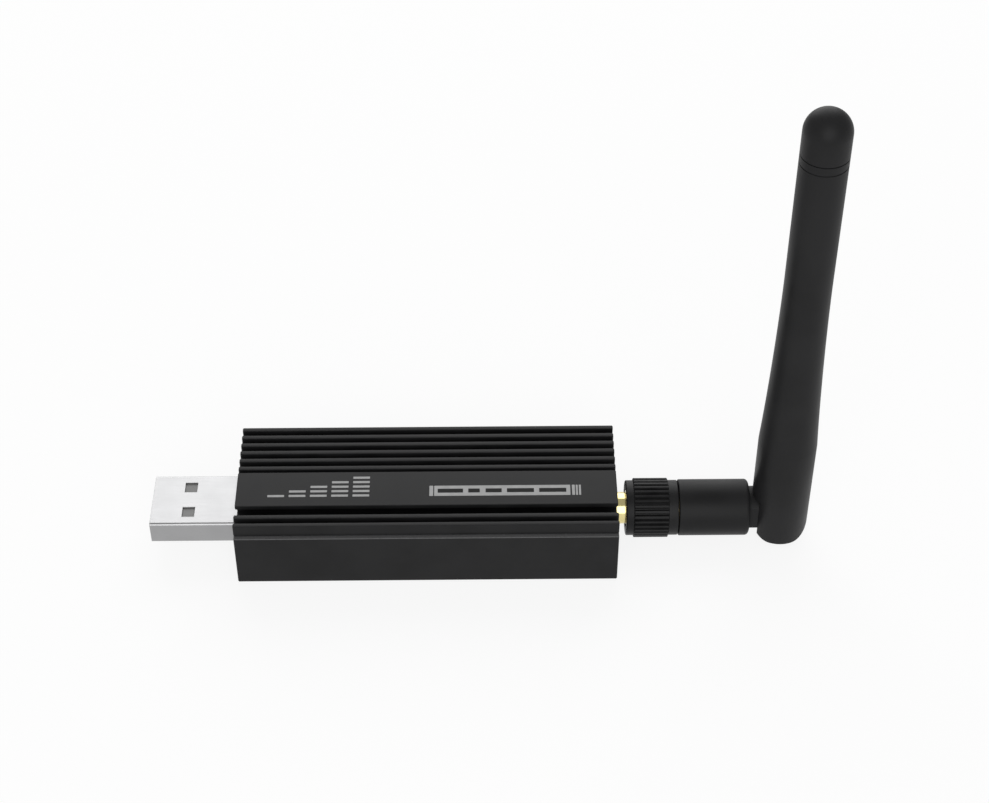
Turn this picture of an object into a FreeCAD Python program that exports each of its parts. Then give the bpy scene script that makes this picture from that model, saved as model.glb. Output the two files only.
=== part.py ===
import FreeCAD, Part
import math
import operator
import os
import types

import Sketcher

# Smart home USB radio stick: a finned aluminium housing on a USB plug, with a screwed-on antenna
# whose whip folds at a hinge. Millimetres. The origin is the centre of the housing's underside,
# +X points to the antenna, +Y to the six fins at the back and +Z up.

sizes = {
    # Housing section
    "body_length": 66.1,
    "body_width": 25.5,
    "body_height": 13.5,
    "ledge_drop": 2.5,
    "ledge_step": 0.55,
    "ledge_groove": 0.25,
    "corner_rounding": 0.5,
    "edge_break": 0.1,
    "end_break": 0.15,
    "fin_width": 0.9,
    "fin_pitch": 1.95,
    "fin_depth": 1.9,
    "band_gap": 0.65,
    "slot_opening": 2.05,
    "slot_lip": 0.8,
    "slot_undercut": 2.3,
    "slot_floor_wall": 0.7,
    "side_wall": 1.5,
    "floor_wall": 1.5,
    "cavity_height": 7.3,
    "card_slot_depth": 0.6,
    "channel_inset": 3.4,
    "channel_wall": 0.5,
    "channel_board_gap": 0.5,
    "channel_gap": 1.1,
    # End plates and their screws
    "pocket_depth": 1.5,
    "plate_shoulder": 0.4,
    "plate_corner": 0.6,
    "plate_thickness": 1.35,
    "plate_clearance": 0.08,
    "screw_radius": 1.0,
    "screw_clearance": 0.05,
    "screw_length": 6.0,
    "head_radius": 1.6,
    # Circuit board
    "board_level": 3.55,
    "board_thickness": 1.6,
    "board_clearance": 0.05,
    # USB plug
    "axis_offset": -0.65,
    "plug_width": 12.0,
    "plug_height": 4.5,
    "plug_reach": 15.3,
    "plug_inset": 5.5,
    "plug_level": 6.2,
    "plug_sheet": 0.3,
    "plug_rounding": 0.5,
    "plug_clearance": 0.1,
    "window_start": 5.45,
    "window_length": 2.15,
    "window_width": 2.33,
    "window_spacing": 5.98,
    "ear_length": 2.0,
    "ear_reach": 1.5,
    "ear_leg_width": 0.8,
    "ear_leg_overhang": 0.5,
    "tongue_thickness": 1.9,
    "tongue_recess": 0.7,
    "insulator_base": 5.0,
    "insulator_clearance": 0.02,
    "contact_width": 1.0,
    "contact_thickness": 0.25,
    "contact_recess": 1.2,
    "contact_inner_place": 1.0,
    "contact_outer_place": 3.5,
    "contact_tail": 1.6,
    "contact_tail_thickness": 0.25,
    # Pieces on the board
    "can_length": 16.0,
    "can_side_gap": 1.0,
    "can_height": 2.4,
    "can_sheet": 0.2,
    "can_setback": 17.55,
    "can_vent_width": 1.0,
    "can_vent_margin": 2.5,
    "can_vent_spacing": 2.6,
    "radio_side": 7.0,
    "radio_height": 0.9,
    "crystal_length": 2.5,
    "crystal_width": 3.2,
    "crystal_height": 0.75,
    "crystal_base": 0.35,
    "crystal_gap": 0.8,
    "bridge_side": 5.0,
    "bridge_height": 0.85,
    "bridge_reach": 14.55,
    "regulator_length": 2.9,
    "regulator_width": 1.6,
    "regulator_height": 1.15,
    "regulator_lift": 0.15,
    "regulator_reach": 6.05,
    "regulator_side_place": 5.0,
    "lead_width": 0.4,
    "lead_pitch": 0.95,
    "lead_reach": 0.6,
    "lead_thickness": 0.2,
    "inductor_side": 4.0,
    "inductor_height": 1.8,
    "inductor_core": 2.8,
    "inductor_flange": 0.45,
    "inductor_side_place": -3.5,
    "capacitor_length": 1.6,
    "capacitor_width": 0.8,
    "capacitor_height": 0.8,
    "capacitor_end": 0.35,
    "capacitor_reach": 20.55,
    "capacitor_spacing": 1.9,
    "led_length": 1.6,
    "led_width": 0.8,
    "led_base": 0.3,
    "led_height": 0.65,
    "led_jack_gap": 0.5,
    "led_side_gap": 1.0,
    "led_spacing": 2.4,
    # Antenna jack
    "antenna_level": 5.55,
    "jack_reach": 5.6,
    "jack_radius": 3.175,
    "jack_chamfer": 0.3,
    "jack_hole_clearance": 0.05,
    "jack_bore_radius": 2.35,
    "jack_mouth_depth": 1.9,
    "jack_flange_side": 6.3,
    "jack_flange_thickness": 1.6,
    "jack_leg_side": 0.9,
    "jack_leg_length": 4.0,
    "jack_leg_spacing": 5.0,
    "dielectric_clearance": 0.02,
    "jack_contact_radius": 0.635,
    "jack_contact_bore": 0.5,
    "jack_contact_bore_depth": 3.4,
    "jack_contact_recess": 0.2,
    "jack_tail_side": 0.8,
    "jack_tail_length": 2.0,
    # Coupling nut
    "nut_start": 1.85,
    "nut_end": 11.0,
    "nut_bore_clearance": 0.07,
    "nut_collar_radius": 4.86,
    "nut_rib_height": 0.37,
    "nut_rib_base": 0.74,
    "nut_rib_crest": 0.36,
    "nut_left_collar": 1.45,
    "nut_right_collar": 1.55,
    "ring_thickness": 0.5,
    "ring_place": 8.45,
    "ring_side_play": 0.05,
    "ring_inner_radius": 2.75,
    "ring_outer_radius": 3.65,
    "ring_play": 0.1,
    "ring_gap": 1.2,
    # Antenna connector inside the nut
    "nose_radius": 2.3,
    "nose_start": 3.75,
    "nose_end": 5.65,
    "nose_recess": 0.2,
    "ferrule_radius": 3.185,
    "ferrule_end_gap": 0.5,
    "pin_radius": 0.45,
    "pin_reach": 1.9,
    "coax_radius": 0.95,
    "coax_clearance": 0.02,
    # Antenna barrel and hinge knuckle
    "barrel_gap": 0.15,
    "barrel_length": 12.5,
    "barrel_radius": 4.97,
    "barrel_edge": 0.65,
    "barrel_clearance": 0.02,
    "hinge_reach": 5.55,
    "neck_radius": 3.715,
    "neck_root": 6.1,
    "neck_root_gap": 0.1,
    "flat_inset": 0.3,
    "tongue_half_width": 2.9,
    "trunnion_radius": 1.5,
    "trunnion_length": 1.0,
    "trunnion_play": 0.05,
    "hinge_side_play": 0.1,
    "hinge_end_play": 0.185,
    # Whip, measured up from the hinge
    "whip_foot": 4.4,
    "whip_foot_rounding": 3.1,
    "whip_base_radius": 5.05,
    "whip_base_top": 16.3,
    "whip_taper_length": 36.95,
    "whip_radius": 3.91,
    "whip_cap_seam": 77.3,
    "whip_dome_place": 81.4,
    "whip_wall": 1.2,
    "whip_bore_start": 6.6,
    "cap_plug_length": 4.0,
    "cap_plug_clearance": 0.03,
    # Radiator inside the whip
    "tube_start": 20.0,
    "tube_length": 26.0,
    "tube_wall": 0.3,
    "tube_clearance": 0.03,
    "whip_coax_start": 8.0,
    "whip_coax_overhang": 0.6,
    "wire_radius": 0.5,
    "wire_end_gap": 0.2,
}

counts = {
    "back_fins": 6,
    "front_fins": 2,
    "knurl_ribs": 34,
    "capacitors": 6,
    "can_vents": 4,
    "regulator_leads": 3,
    "status_leds": 2,
    "dome_steps": 4,
}


class Size:
    # A length that carries both its number and the sheet formula that stands for it.
    def __init__(self, number, formula):
        self.number = number
        self.formula = formula

    def __add__(self, other):
        return combined(self, other, operator.add, "+")

    def __radd__(self, other):
        return combined(other, self, operator.add, "+")

    def __sub__(self, other):
        return combined(self, other, operator.sub, "-")

    def __rsub__(self, other):
        return combined(other, self, operator.sub, "-")

    def __mul__(self, other):
        return combined(self, other, operator.mul, "*")

    def __rmul__(self, other):
        return combined(other, self, operator.mul, "*")

    def __truediv__(self, other):
        return combined(self, other, operator.truediv, "/")

    def __neg__(self):
        return combined(0, self, operator.sub, "-")


def as_size(value):
    if isinstance(value, Size):
        return value
    return Size(float(value), str(value))


def combined(left, right, action, sign):
    left = as_size(left)
    right = as_size(right)
    return Size(action(left.number, right.number), f"({left.formula} {sign} {right.formula})")


document = FreeCAD.newDocument("RadioStick")
sheet = document.addObject("Spreadsheet::Sheet", "Sizes")
for row, (alias, value) in enumerate(sizes.items(), 1):
    sheet.set(f"A{row}", alias)
    sheet.set(f"B{row}", str(value))
    sheet.setAlias(f"B{row}", alias)
document.recompute()
dim = types.SimpleNamespace(**{alias: Size(value, f"Sizes.{alias}") for alias, value in sizes.items()})

AXIS_TURNS = {
    "X": FreeCAD.Rotation(FreeCAD.Vector(0, 1, 0), 90),
    "Y": FreeCAD.Rotation(FreeCAD.Vector(1, 0, 0), -90),
    "Z": FreeCAD.Rotation(),
}
HOLLOW = "hollow"
sub_parts = []


def bind(item, **properties):
    for name, size in properties.items():
        item.setExpression(name, as_size(size).formula)


def seat(item, place, turn=AXIS_TURNS["Z"]):
    # Puts an object at a place given by three sizes, turned about that place.
    item.Placement = FreeCAD.Placement(FreeCAD.Vector(), turn)
    for axis, size in zip("xyz", place):
        item.setExpression(f"Placement.Base.{axis}", as_size(size).formula)


def new_body(label, place=(0, 0, 0), is_sub_part=True):
    body = document.addObject("PartDesign::Body", label)
    body.Label = label
    seat(body, place)
    if is_sub_part:
        sub_parts.append(body)
    return body


def group(label, bodies):
    # Several like pieces that share one node, each a solid of its own.
    compound = document.addObject("Part::Compound", label)
    compound.Label = label
    compound.Links = bodies
    sub_parts.append(compound)


def add_block(body, corner, extent, kind="Additive"):
    block = body.newObject(f"PartDesign::{kind}Box", "Block")
    bind(block, Length=extent[0], Width=extent[1], Height=extent[2])
    seat(block, corner)


def cut_block(body, corner, extent):
    add_block(body, corner, extent, "Subtractive")


def add_rod(body, axis, start, length, radius, kind="Additive"):
    rod = body.newObject(f"PartDesign::{kind}Cylinder", "Rod")
    bind(rod, Radius=radius, Height=length)
    seat(rod, start, AXIS_TURNS[axis])


def cut_rod(body, axis, start, length, radius):
    add_rod(body, axis, start, length, radius, "Subtractive")


def curve_between(start, end, radius, is_hollow):
    # The short arc from start to end. It turns left, or right where it is hollow.
    chord = end - start
    rise = math.sqrt(max(radius * radius - chord.Length ** 2 / 4, 0))
    left = FreeCAD.Vector(-chord.y, chord.x, 0).normalize()
    centre = (start + end) / 2 + left * (-rise if is_hollow else rise)
    first, last = (end, start) if is_hollow else (start, end)
    angles = [math.atan2(point.y - centre.y, point.x - centre.x) for point in (first, last)]
    if angles[1] < angles[0]:
        angles[1] += 2 * math.pi
    circle = Part.Circle(centre, FreeCAD.Vector(0, 0, 1), radius)
    return Part.ArcOfCircle(circle, angles[0], angles[1])


def outline_sketch(body, plane, *outlines):
    # Closed outlines of (across, up) points. A third value is the radius of the arc to the next
    # point, and a fourth says that the arc is hollow. Every point and radius follows the sheet.
    sketch = body.newObject("Sketcher::SketchObject", "Outline")
    origin_plane = [item for item in body.Origin.OriginFeatures if item.Role == f"{plane}_Plane"][0]
    sketch.AttachmentSupport = (origin_plane, "")
    sketch.MapMode = "FlatFace"
    for outline in outlines:
        points = [tuple(as_size(size) for size in point[:2]) for point in outline]
        places = [FreeCAD.Vector(across.number, up.number, 0) for across, up in points]
        edges = []
        for index, point in enumerate(outline):
            start = places[index]
            end = places[(index + 1) % len(places)]
            if len(point) == 2:
                edge = sketch.addGeometry(Part.LineSegment(start, end), False)
                edges.append((edge, 1, 2))
                continue
            radius = as_size(point[2])
            is_hollow = HOLLOW in point
            edge = sketch.addGeometry(curve_between(start, end, radius.number, is_hollow), False)
            edges.append((edge, 2, 1) if is_hollow else (edge, 1, 2))
            limit = sketch.addConstraint(Sketcher.Constraint("Radius", edge, radius.number))
            sketch.setExpression(f"Constraints[{limit}]", radius.formula)
        for index, (edge, start, end) in enumerate(edges):
            following = edges[(index + 1) % len(edges)]
            sketch.addConstraint(Sketcher.Constraint("Coincident", edge, end, following[0], following[1]))
            for kind, size in zip(("DistanceX", "DistanceY"), points[index]):
                limit = sketch.addConstraint(Sketcher.Constraint(kind, -1, 1, edge, start, size.number))
                sketch.setExpression(f"Constraints[{limit}]", size.formula)
    return sketch


def add_pad(body, plane, length, *outlines):
    # A pad of a section, half of its length to each side of the plane.
    sketch = outline_sketch(body, plane, *outlines)
    pad = body.newObject("PartDesign::Pad", "Pad")
    pad.Profile = sketch
    pad.Midplane = True
    bind(pad, Length=length)
    return pad


def cut_pocket(body, plane, length, *outlines):
    sketch = outline_sketch(body, plane, *outlines)
    pocket = body.newObject("PartDesign::Pocket", "Pocket")
    pocket.Profile = sketch
    pocket.Midplane = True
    bind(pocket, Length=length)
    return pocket


def turn_outline(body, outline, axis="X", kind="PartDesign::Revolution"):
    # Turns an outline in the XZ plane about the body's own X or Z axis.
    sketch = outline_sketch(body, "XZ", outline)
    turned = body.newObject(kind, "Turned")
    turned.Profile = sketch
    turned.ReferenceAxis = (sketch, ["H_Axis" if axis == "X" else "V_Axis"])
    turned.Angle = 360
    return turned


def finish_edges(body, kind, wanted, size_name, size):
    # Rounds or chamfers the edges of the body that the wanted function picks.
    document.recompute()
    base = body.Tip
    names = [f"Edge{number}" for number, edge in enumerate(base.Shape.Edges, 1) if wanted(edge)]
    feature = body.newObject(kind, "Edges")
    feature.Base = (base, names)
    bind(feature, **{size_name: size})


def round_edges(body, radius, wanted):
    finish_edges(body, "PartDesign::Fillet", wanted, "Radius", radius)


def chamfer_edges(body, size, wanted):
    finish_edges(body, "PartDesign::Chamfer", wanted, "Size", size)


def runs_along(edge, axis):
    # True where a straight edge is parallel to an axis.
    if not isinstance(edge.Curve, Part.Line):
        return False
    return abs(getattr(edge.Curve.Direction, axis)) > 1 - 1e-6


# Places that several pieces share
half_length = dim.body_length / 2
half_width = dim.body_width / 2
inner_half = half_width - dim.side_wall
ceiling = dim.floor_wall + dim.cavity_height
board_top = dim.board_level + dim.board_thickness
pocket_floor = half_length - dim.pocket_depth
channel_place = half_width - dim.channel_inset
channel_radius = dim.screw_radius + dim.screw_clearance + dim.channel_wall
channel_level = board_top + dim.channel_board_gap + channel_radius
channel_side = channel_place - channel_radius
plate_face = pocket_floor + dim.plate_thickness
plug_tip = -half_length - dim.plug_reach
plug_rear = -half_length + dim.plug_inset
plug_bottom = dim.plug_level - dim.plug_height / 2
jack_back = pocket_floor - dim.jack_flange_thickness
can_place = pocket_floor - dim.can_setback
bridge_place = plug_rear + dim.bridge_reach
regulator_place = plug_rear + dim.regulator_reach
capacitor_place = plug_rear + dim.capacitor_reach
ANTENNA_LINE = (half_length, dim.axis_offset, dim.antenna_level)


# Housing extrusion: fins, label band, undercut slot, card slots and screw channels
def crest(left, right):
    # The top land of a fin or of the band, with its two edges broken.
    top = dim.body_height
    small = dim.edge_break
    return [(right, top - small), (right - small, top), (left + small, top), (left, top - small)]


def housing_section():
    top = dim.body_height
    ledge = top - dim.ledge_drop
    side = half_width - dim.ledge_step
    neck = side - dim.ledge_groove
    groove_top = ledge + dim.ledge_groove
    groove_floor = top - dim.fin_depth
    slot_floor = ceiling + dim.plate_shoulder + dim.slot_floor_wall
    front_row = -side + dim.fin_pitch * (counts["front_fins"] - 1) + dim.fin_width
    back_row = side - dim.fin_pitch * (counts["back_fins"] - 1) - dim.fin_width
    band_front = front_row + dim.slot_opening
    band_back = back_row - dim.band_gap
    round_size = dim.corner_rounding
    small = dim.edge_break
    outline = [
        (-half_width + round_size, 0),
        (half_width - round_size, 0, round_size),
        (half_width, round_size),
        (half_width, ledge - small),
        (half_width - small, ledge),
        (neck, ledge),
        (neck, groove_top),
        (side, groove_top),
    ]
    for index in range(counts["back_fins"]):
        fin_back = side - dim.fin_pitch * index
        is_last = index + 1 == counts["back_fins"]
        outline += crest(fin_back - dim.fin_width, fin_back)
        outline += [
            (fin_back - dim.fin_width, groove_floor),
            (band_back if is_last else fin_back - dim.fin_pitch, groove_floor),
        ]
    outline += crest(band_front, band_back)
    outline += [
        (band_front, top - dim.slot_lip),
        (band_front + dim.slot_undercut, top - dim.slot_lip),
        (band_front + dim.slot_undercut, slot_floor),
        (front_row, slot_floor),
    ]
    for index in reversed(range(counts["front_fins"])):
        fin_front = -side + dim.fin_pitch * index
        outline += crest(fin_front, fin_front + dim.fin_width)
        if index > 0:
            outline += [
                (fin_front, groove_floor),
                (fin_front - dim.fin_pitch + dim.fin_width, groove_floor),
            ]
    outline += [
        (-side, groove_top),
        (-neck, groove_top),
        (-neck, ledge),
        (-half_width + small, ledge),
        (-half_width, ledge - small),
        (-half_width, round_size, round_size),
    ]
    return outline


def cavity_section():
    slot_bottom = dim.board_level - dim.board_clearance
    slot_top = board_top + dim.board_clearance
    slot_end = inner_half + dim.card_slot_depth
    return [
        (-inner_half, dim.floor_wall),
        (inner_half, dim.floor_wall),
        (inner_half, slot_bottom),
        (slot_end, slot_bottom),
        (slot_end, slot_top),
        (inner_half, slot_top),
        (inner_half, ceiling),
        (-inner_half, ceiling),
        (-inner_half, slot_top),
        (-slot_end, slot_top),
        (-slot_end, slot_bottom),
        (-inner_half, slot_bottom),
    ]


def is_end_outline(edge):
    # The edges round the two sawn ends, apart from those inside the cavity.
    box = edge.BoundBox
    at_end = box.XLength < 1e-6 and abs(abs(box.XMin) - half_length.number) < 1e-6
    beside = min(abs(box.YMin), abs(box.YMax)) > (half_width - dim.side_wall / 2).number
    below = box.ZMax < (dim.floor_wall / 2).number
    above = box.ZMin > (ceiling + dim.plate_shoulder).number
    return at_end and (beside or below or above)


def add_screw_channels(body):
    # Two square bosses along the upper inner corners, each bored and open on its inner side.
    start = -half_length + dim.end_break
    length = dim.body_length - dim.end_break * 2
    width = inner_half - channel_side
    bottom = channel_level - channel_radius
    for boss_left in (-inner_half, channel_side):
        add_block(body, (start, boss_left, bottom), (length, width, ceiling - bottom))
    for side in (-1, 1):
        place = (-half_length, channel_place * side, channel_level)
        cut_rod(body, "X", place, dim.body_length, dim.screw_radius + dim.screw_clearance)
        gap_left = channel_side if side > 0 else -channel_place
        gap_corner = (-half_length, gap_left, channel_level - dim.channel_gap / 2)
        cut_block(body, gap_corner, (dim.body_length, channel_radius, dim.channel_gap))


def make_housing():
    body = new_body("housing_extrusion")
    add_pad(body, "YZ", dim.body_length, housing_section(), cavity_section())
    chamfer_edges(body, dim.end_break, is_end_outline)
    add_screw_channels(body)
    pocket_width = inner_half * 2 + dim.plate_shoulder * 2
    pocket_height = dim.cavity_height + dim.plate_shoulder * 2
    pocket_corner = (-inner_half - dim.plate_shoulder, dim.floor_wall - dim.plate_shoulder)
    for start in (-half_length, pocket_floor):
        cut_block(body, (start, *pocket_corner), (dim.pocket_depth, pocket_width, pocket_height))

    def is_pocket_corner(edge):
        reach = (inner_half + dim.plate_shoulder).number
        box = edge.BoundBox
        at_side = abs(abs(box.YMin) - reach) < 1e-6 and box.YLength < 1e-6
        levels = (dim.floor_wall - dim.plate_shoulder, ceiling + dim.plate_shoulder)
        at_level = any(abs(box.ZMin - level.number) < 1e-6 for level in levels)
        return runs_along(edge, "x") and at_side and at_level

    chamfer_edges(body, dim.plate_corner, is_pocket_corner)


# End plates in the pockets. Two countersunk screws hold the one at the antenna's end, and the
# board and the plug hold the other.
def plate_body(label, start):
    body = new_body(label)
    inner_reach = inner_half + dim.plate_shoulder - dim.plate_clearance
    bottom = dim.floor_wall - dim.plate_shoulder + dim.plate_clearance
    height = dim.cavity_height + (dim.plate_shoulder - dim.plate_clearance) * 2
    add_block(body, (start, -inner_reach, bottom), (dim.plate_thickness, inner_reach * 2, height))
    chamfer_edges(body, dim.plate_corner, lambda edge: runs_along(edge, "x"))
    return body


def make_end_plates():
    start = -plate_face
    body = plate_body("usb_end_plate", start)
    gap = dim.plug_clearance
    hole_corner = (start, dim.axis_offset - dim.plug_width / 2 - gap, plug_bottom - gap)
    cut_block(body, hole_corner, (dim.plate_thickness, dim.plug_width + gap * 2, dim.plug_height + gap * 2))
    start = pocket_floor
    body = plate_body("antenna_end_plate", start)
    hole = dim.jack_radius + dim.jack_hole_clearance
    cut_rod(body, "X", (start, dim.axis_offset, dim.antenna_level), dim.plate_thickness, hole)
    for place in (-channel_place, channel_place):
        sink = body.newObject("PartDesign::SubtractiveCone", "Countersink")
        bind(sink, Height=dim.plate_thickness)
        bind(sink, Radius1=dim.screw_radius + dim.screw_clearance)
        bind(sink, Radius2=dim.head_radius + dim.screw_clearance)
        seat(sink, (start, place, channel_level), AXIS_TURNS["X"])


def is_between(edge, corner, extent):
    # True where an edge lies within a block, its faces included.
    box = edge.BoundBox
    lows = [as_size(size).number for size in corner]
    highs = [low + as_size(size).number for low, size in zip(lows, extent)]
    starts = (box.XMin, box.YMin, box.ZMin)
    ends = (box.XMax, box.YMax, box.ZMax)
    above = all(low - 1e-4 < start for low, start in zip(lows, starts))
    return above and all(end < high + 1e-4 for high, end in zip(highs, ends))


def make_screws():
    screws = []
    for side in (-1, 1):
        screw = new_body("screw", (plate_face, channel_place * side, channel_level), is_sub_part=False)
        turn_outline(screw, [
            (-dim.screw_length, 0),
            (0, 0),
            (0, dim.head_radius),
            (-dim.plate_thickness, dim.screw_radius),
            (-dim.screw_length, dim.screw_radius),
        ])
        screws.append(screw)
    group("end_plate_screws", screws)


# Circuit board, with a notch for the sunk plug and holes for its legs
def make_board():
    body = new_body("circuit_board")
    start = -pocket_floor + dim.board_clearance
    end = jack_back - dim.board_clearance
    reach = inner_half + dim.card_slot_depth - dim.board_clearance
    add_block(body, (start, -reach, dim.board_level), (end - start, reach * 2, dim.board_thickness))
    gap = dim.plug_clearance
    notch_corner = (start, dim.axis_offset - dim.plug_width / 2 - gap, dim.board_level)
    cut_block(body, notch_corner, (plug_rear + gap - start, dim.plug_width + gap * 2, dim.board_thickness))
    for side in (-1, 1):
        leg_left = ear_leg_left(side) - gap
        corner = (plug_rear - dim.ear_length - gap, leg_left, dim.board_level)
        leg_hole = (dim.ear_leg_width + gap * 2, dim.plug_sheet + gap * 2, dim.board_thickness)
        cut_block(body, corner, leg_hole)


def ear_leg_left(side):
    # The lower Y of the leg at the outer end of one of the plug's ears.
    reach = dim.plug_width / 2 + dim.ear_reach
    return dim.axis_offset + reach - dim.plug_sheet if side > 0 else dim.axis_offset - reach


# USB plug: drawn steel shell with two windows in each broad face, insulator and four contacts
def make_plug_shell():
    body = new_body("usb_plug_shell")
    left = dim.axis_offset - dim.plug_width / 2
    length = plug_rear - plug_tip
    add_block(body, (plug_tip, left, plug_bottom), (length, dim.plug_width, dim.plug_height))
    round_edges(body, dim.plug_rounding, lambda edge: runs_along(edge, "x"))
    sheet_size = dim.plug_sheet
    inner_corner = (plug_tip, left + sheet_size, plug_bottom + sheet_size)
    inner_size = (length, dim.plug_width - sheet_size * 2, dim.plug_height - sheet_size * 2)
    cut_block(body, inner_corner, inner_size)

    def is_inner_corner(edge):
        return runs_along(edge, "x") and is_between(edge, inner_corner, inner_size)

    chamfer_edges(body, dim.plug_rounding - sheet_size, is_inner_corner)
    for side in (-1, 1):
        window_left = dim.axis_offset + dim.window_spacing / 2 * side - dim.window_width / 2
        corner = (plug_tip + dim.window_start, window_left, plug_bottom)
        cut_block(body, corner, (dim.window_length, dim.window_width, dim.plug_height))
    for side in (-1, 1):
        ear_start = plug_rear - dim.ear_length
        wall = dim.plug_width / 2 - sheet_size / 2
        ear_width = dim.ear_reach + sheet_size / 2
        ear_left = dim.axis_offset + wall if side > 0 else dim.axis_offset - wall - ear_width
        add_block(body, (ear_start, ear_left, board_top), (dim.ear_length, ear_width, sheet_size))
        leg_drop = dim.board_thickness + dim.ear_leg_overhang
        leg_corner = (ear_start, ear_leg_left(side), board_top - leg_drop)
        add_block(body, leg_corner, (dim.ear_leg_width, sheet_size, leg_drop + sheet_size))


def plug_inner_top():
    return plug_bottom + dim.plug_height - dim.plug_sheet - dim.insulator_clearance


def contact_places():
    inner = dim.contact_inner_place
    outer = dim.contact_outer_place
    return [-outer, -inner, inner, outer]


def make_insulator():
    body = new_body("usb_plug_insulator")
    gap = dim.insulator_clearance
    width = dim.plug_width - dim.plug_sheet * 2 - gap * 2
    left = dim.axis_offset - width / 2
    bottom = plug_bottom + dim.plug_sheet + gap
    height = plug_inner_top() - bottom
    add_block(body, (plug_rear - dim.insulator_base, left, bottom), (dim.insulator_base, width, height))
    tongue_start = plug_tip + dim.tongue_recess
    tongue_bottom = plug_inner_top() - dim.tongue_thickness
    tongue_length = plug_rear - dim.insulator_base - tongue_start
    add_block(body, (tongue_start, left, tongue_bottom), (tongue_length, width, dim.tongue_thickness))
    chamfer_edges(body, dim.plug_rounding - dim.plug_sheet, lambda edge: is_outer_run(edge, left, width))
    for place in contact_places():
        # a groove for the contact along the tongue, and its way out through the base
        groove_left = dim.axis_offset + place - dim.contact_width / 2
        groove_start = plug_tip + dim.contact_recess
        groove_length = plug_rear - groove_start
        corner = (groove_start, groove_left, tongue_bottom)
        cut_block(body, corner, (groove_length, dim.contact_width, dim.contact_thickness))


def is_outer_run(edge, left, width):
    # The long edges at the insulator's two outer sides.
    faces = (left.number, (left + width).number)
    at_face = any(abs(edge.BoundBox.YMin - face) < 1e-6 for face in faces)
    return runs_along(edge, "x") and edge.BoundBox.YLength < 1e-6 and at_face


def make_contacts():
    contacts = []
    tongue_bottom = plug_inner_top() - dim.tongue_thickness
    for place in contact_places():
        contact = new_body("contact", is_sub_part=False)
        left = dim.axis_offset + place - dim.contact_width / 2
        start = plug_tip + dim.contact_recess
        length = plug_rear - start
        thickness = dim.contact_thickness
        add_block(contact, (start, left, tongue_bottom), (length, dim.contact_width, thickness))
        drop_height = tongue_bottom + thickness - board_top
        foot = (plug_rear, left, board_top)
        add_block(contact, foot, (thickness, dim.contact_width, drop_height))
        tail_size = (dim.contact_tail, dim.contact_width, dim.contact_tail_thickness)
        add_block(contact, foot, tail_size)
        contacts.append(contact)
    group("usb_contacts", contacts)


# Pieces on the board
def make_chip(label, middle, side, height):
    body = new_body(label)
    add_block(body, (middle - side / 2, -side / 2, board_top), (side, side, height))


def make_shield_can():
    body = new_body("radio_shield_can")
    start = can_place - dim.can_length / 2
    half_can = channel_side - dim.can_side_gap
    wall = dim.can_sheet
    add_block(body, (start, -half_can, board_top), (dim.can_length, half_can * 2, dim.can_height))
    inner_size = (dim.can_length - wall * 2, (half_can - wall) * 2, dim.can_height - wall)
    cut_block(body, (start + wall, wall - half_can, board_top), inner_size)
    # slots across the top that let the heat out
    half_vent = half_can - dim.can_vent_margin
    for index in range(counts["can_vents"]):
        middle = can_place + dim.can_vent_spacing * (index - (counts["can_vents"] - 1) / 2)
        corner = (middle - dim.can_vent_width / 2, -half_vent, board_top + dim.can_height - wall)
        cut_block(body, corner, (dim.can_vent_width, half_vent * 2, wall))


def make_crystal():
    body = new_body("radio_crystal")
    start = can_place + dim.radio_side / 2 + dim.crystal_gap
    left = -dim.crystal_width / 2
    add_block(body, (start, left, board_top), (dim.crystal_length, dim.crystal_width, dim.crystal_base))
    rim = dim.can_sheet
    lid_height = dim.crystal_height - dim.crystal_base
    lid_size = (dim.crystal_length - rim * 2, dim.crystal_width - rim * 2, lid_height)
    add_block(body, (start + rim, left + rim, board_top + dim.crystal_base), lid_size)


def make_regulator():
    body = new_body("voltage_regulator")
    left = dim.regulator_side_place - dim.regulator_width / 2
    start = regulator_place - dim.regulator_length / 2
    body_corner = (start, left, board_top + dim.regulator_lift)
    case_height = dim.regulator_height - dim.regulator_lift
    add_block(body, body_corner, (dim.regulator_length, dim.regulator_width, case_height))
    foot_height = dim.regulator_lift + dim.lead_thickness
    for index in range(counts["regulator_leads"]):
        step = dim.lead_pitch * (index - (counts["regulator_leads"] - 1) / 2)
        lead = regulator_place + step - dim.lead_width / 2
        for foot_left in (left - dim.lead_reach, left + dim.regulator_width):
            add_block(body, (lead, foot_left, board_top), (dim.lead_width, dim.lead_reach, foot_height))


def make_inductor():
    body = new_body("power_inductor")
    side = dim.inductor_side
    corner = (regulator_place - side / 2, dim.inductor_side_place - side / 2)
    add_block(body, (*corner, board_top), (side, side, dim.inductor_flange))
    core = dim.inductor_core
    core_corner = (regulator_place - core / 2, dim.inductor_side_place - core / 2, board_top)
    add_block(body, core_corner, (core, core, dim.inductor_height))
    top_flange = board_top + dim.inductor_height - dim.inductor_flange
    add_block(body, (*corner, top_flange), (side, side, dim.inductor_flange))


def make_capacitors():
    capacitors = []
    for index in range(counts["capacitors"]):
        middle = dim.capacitor_spacing * (index - (counts["capacitors"] - 1) / 2)
        start = capacitor_place - dim.capacitor_length / 2
        capacitor = new_body("capacitor", is_sub_part=False)
        rim = dim.edge_break / 2
        left = middle - dim.capacitor_width / 2
        end_size = (dim.capacitor_end, dim.capacitor_width, dim.capacitor_height)
        core_size = (dim.capacitor_length, dim.capacitor_width - rim * 2, dim.capacitor_height - rim * 2)
        add_block(capacitor, (start, left + rim, board_top + rim), core_size)
        add_block(capacitor, (start, left, board_top), end_size)
        far_end = start + dim.capacitor_length - dim.capacitor_end
        add_block(capacitor, (far_end, left, board_top), end_size)
        capacitors.append(capacitor)
    group("chip_capacitors", capacitors)


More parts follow.
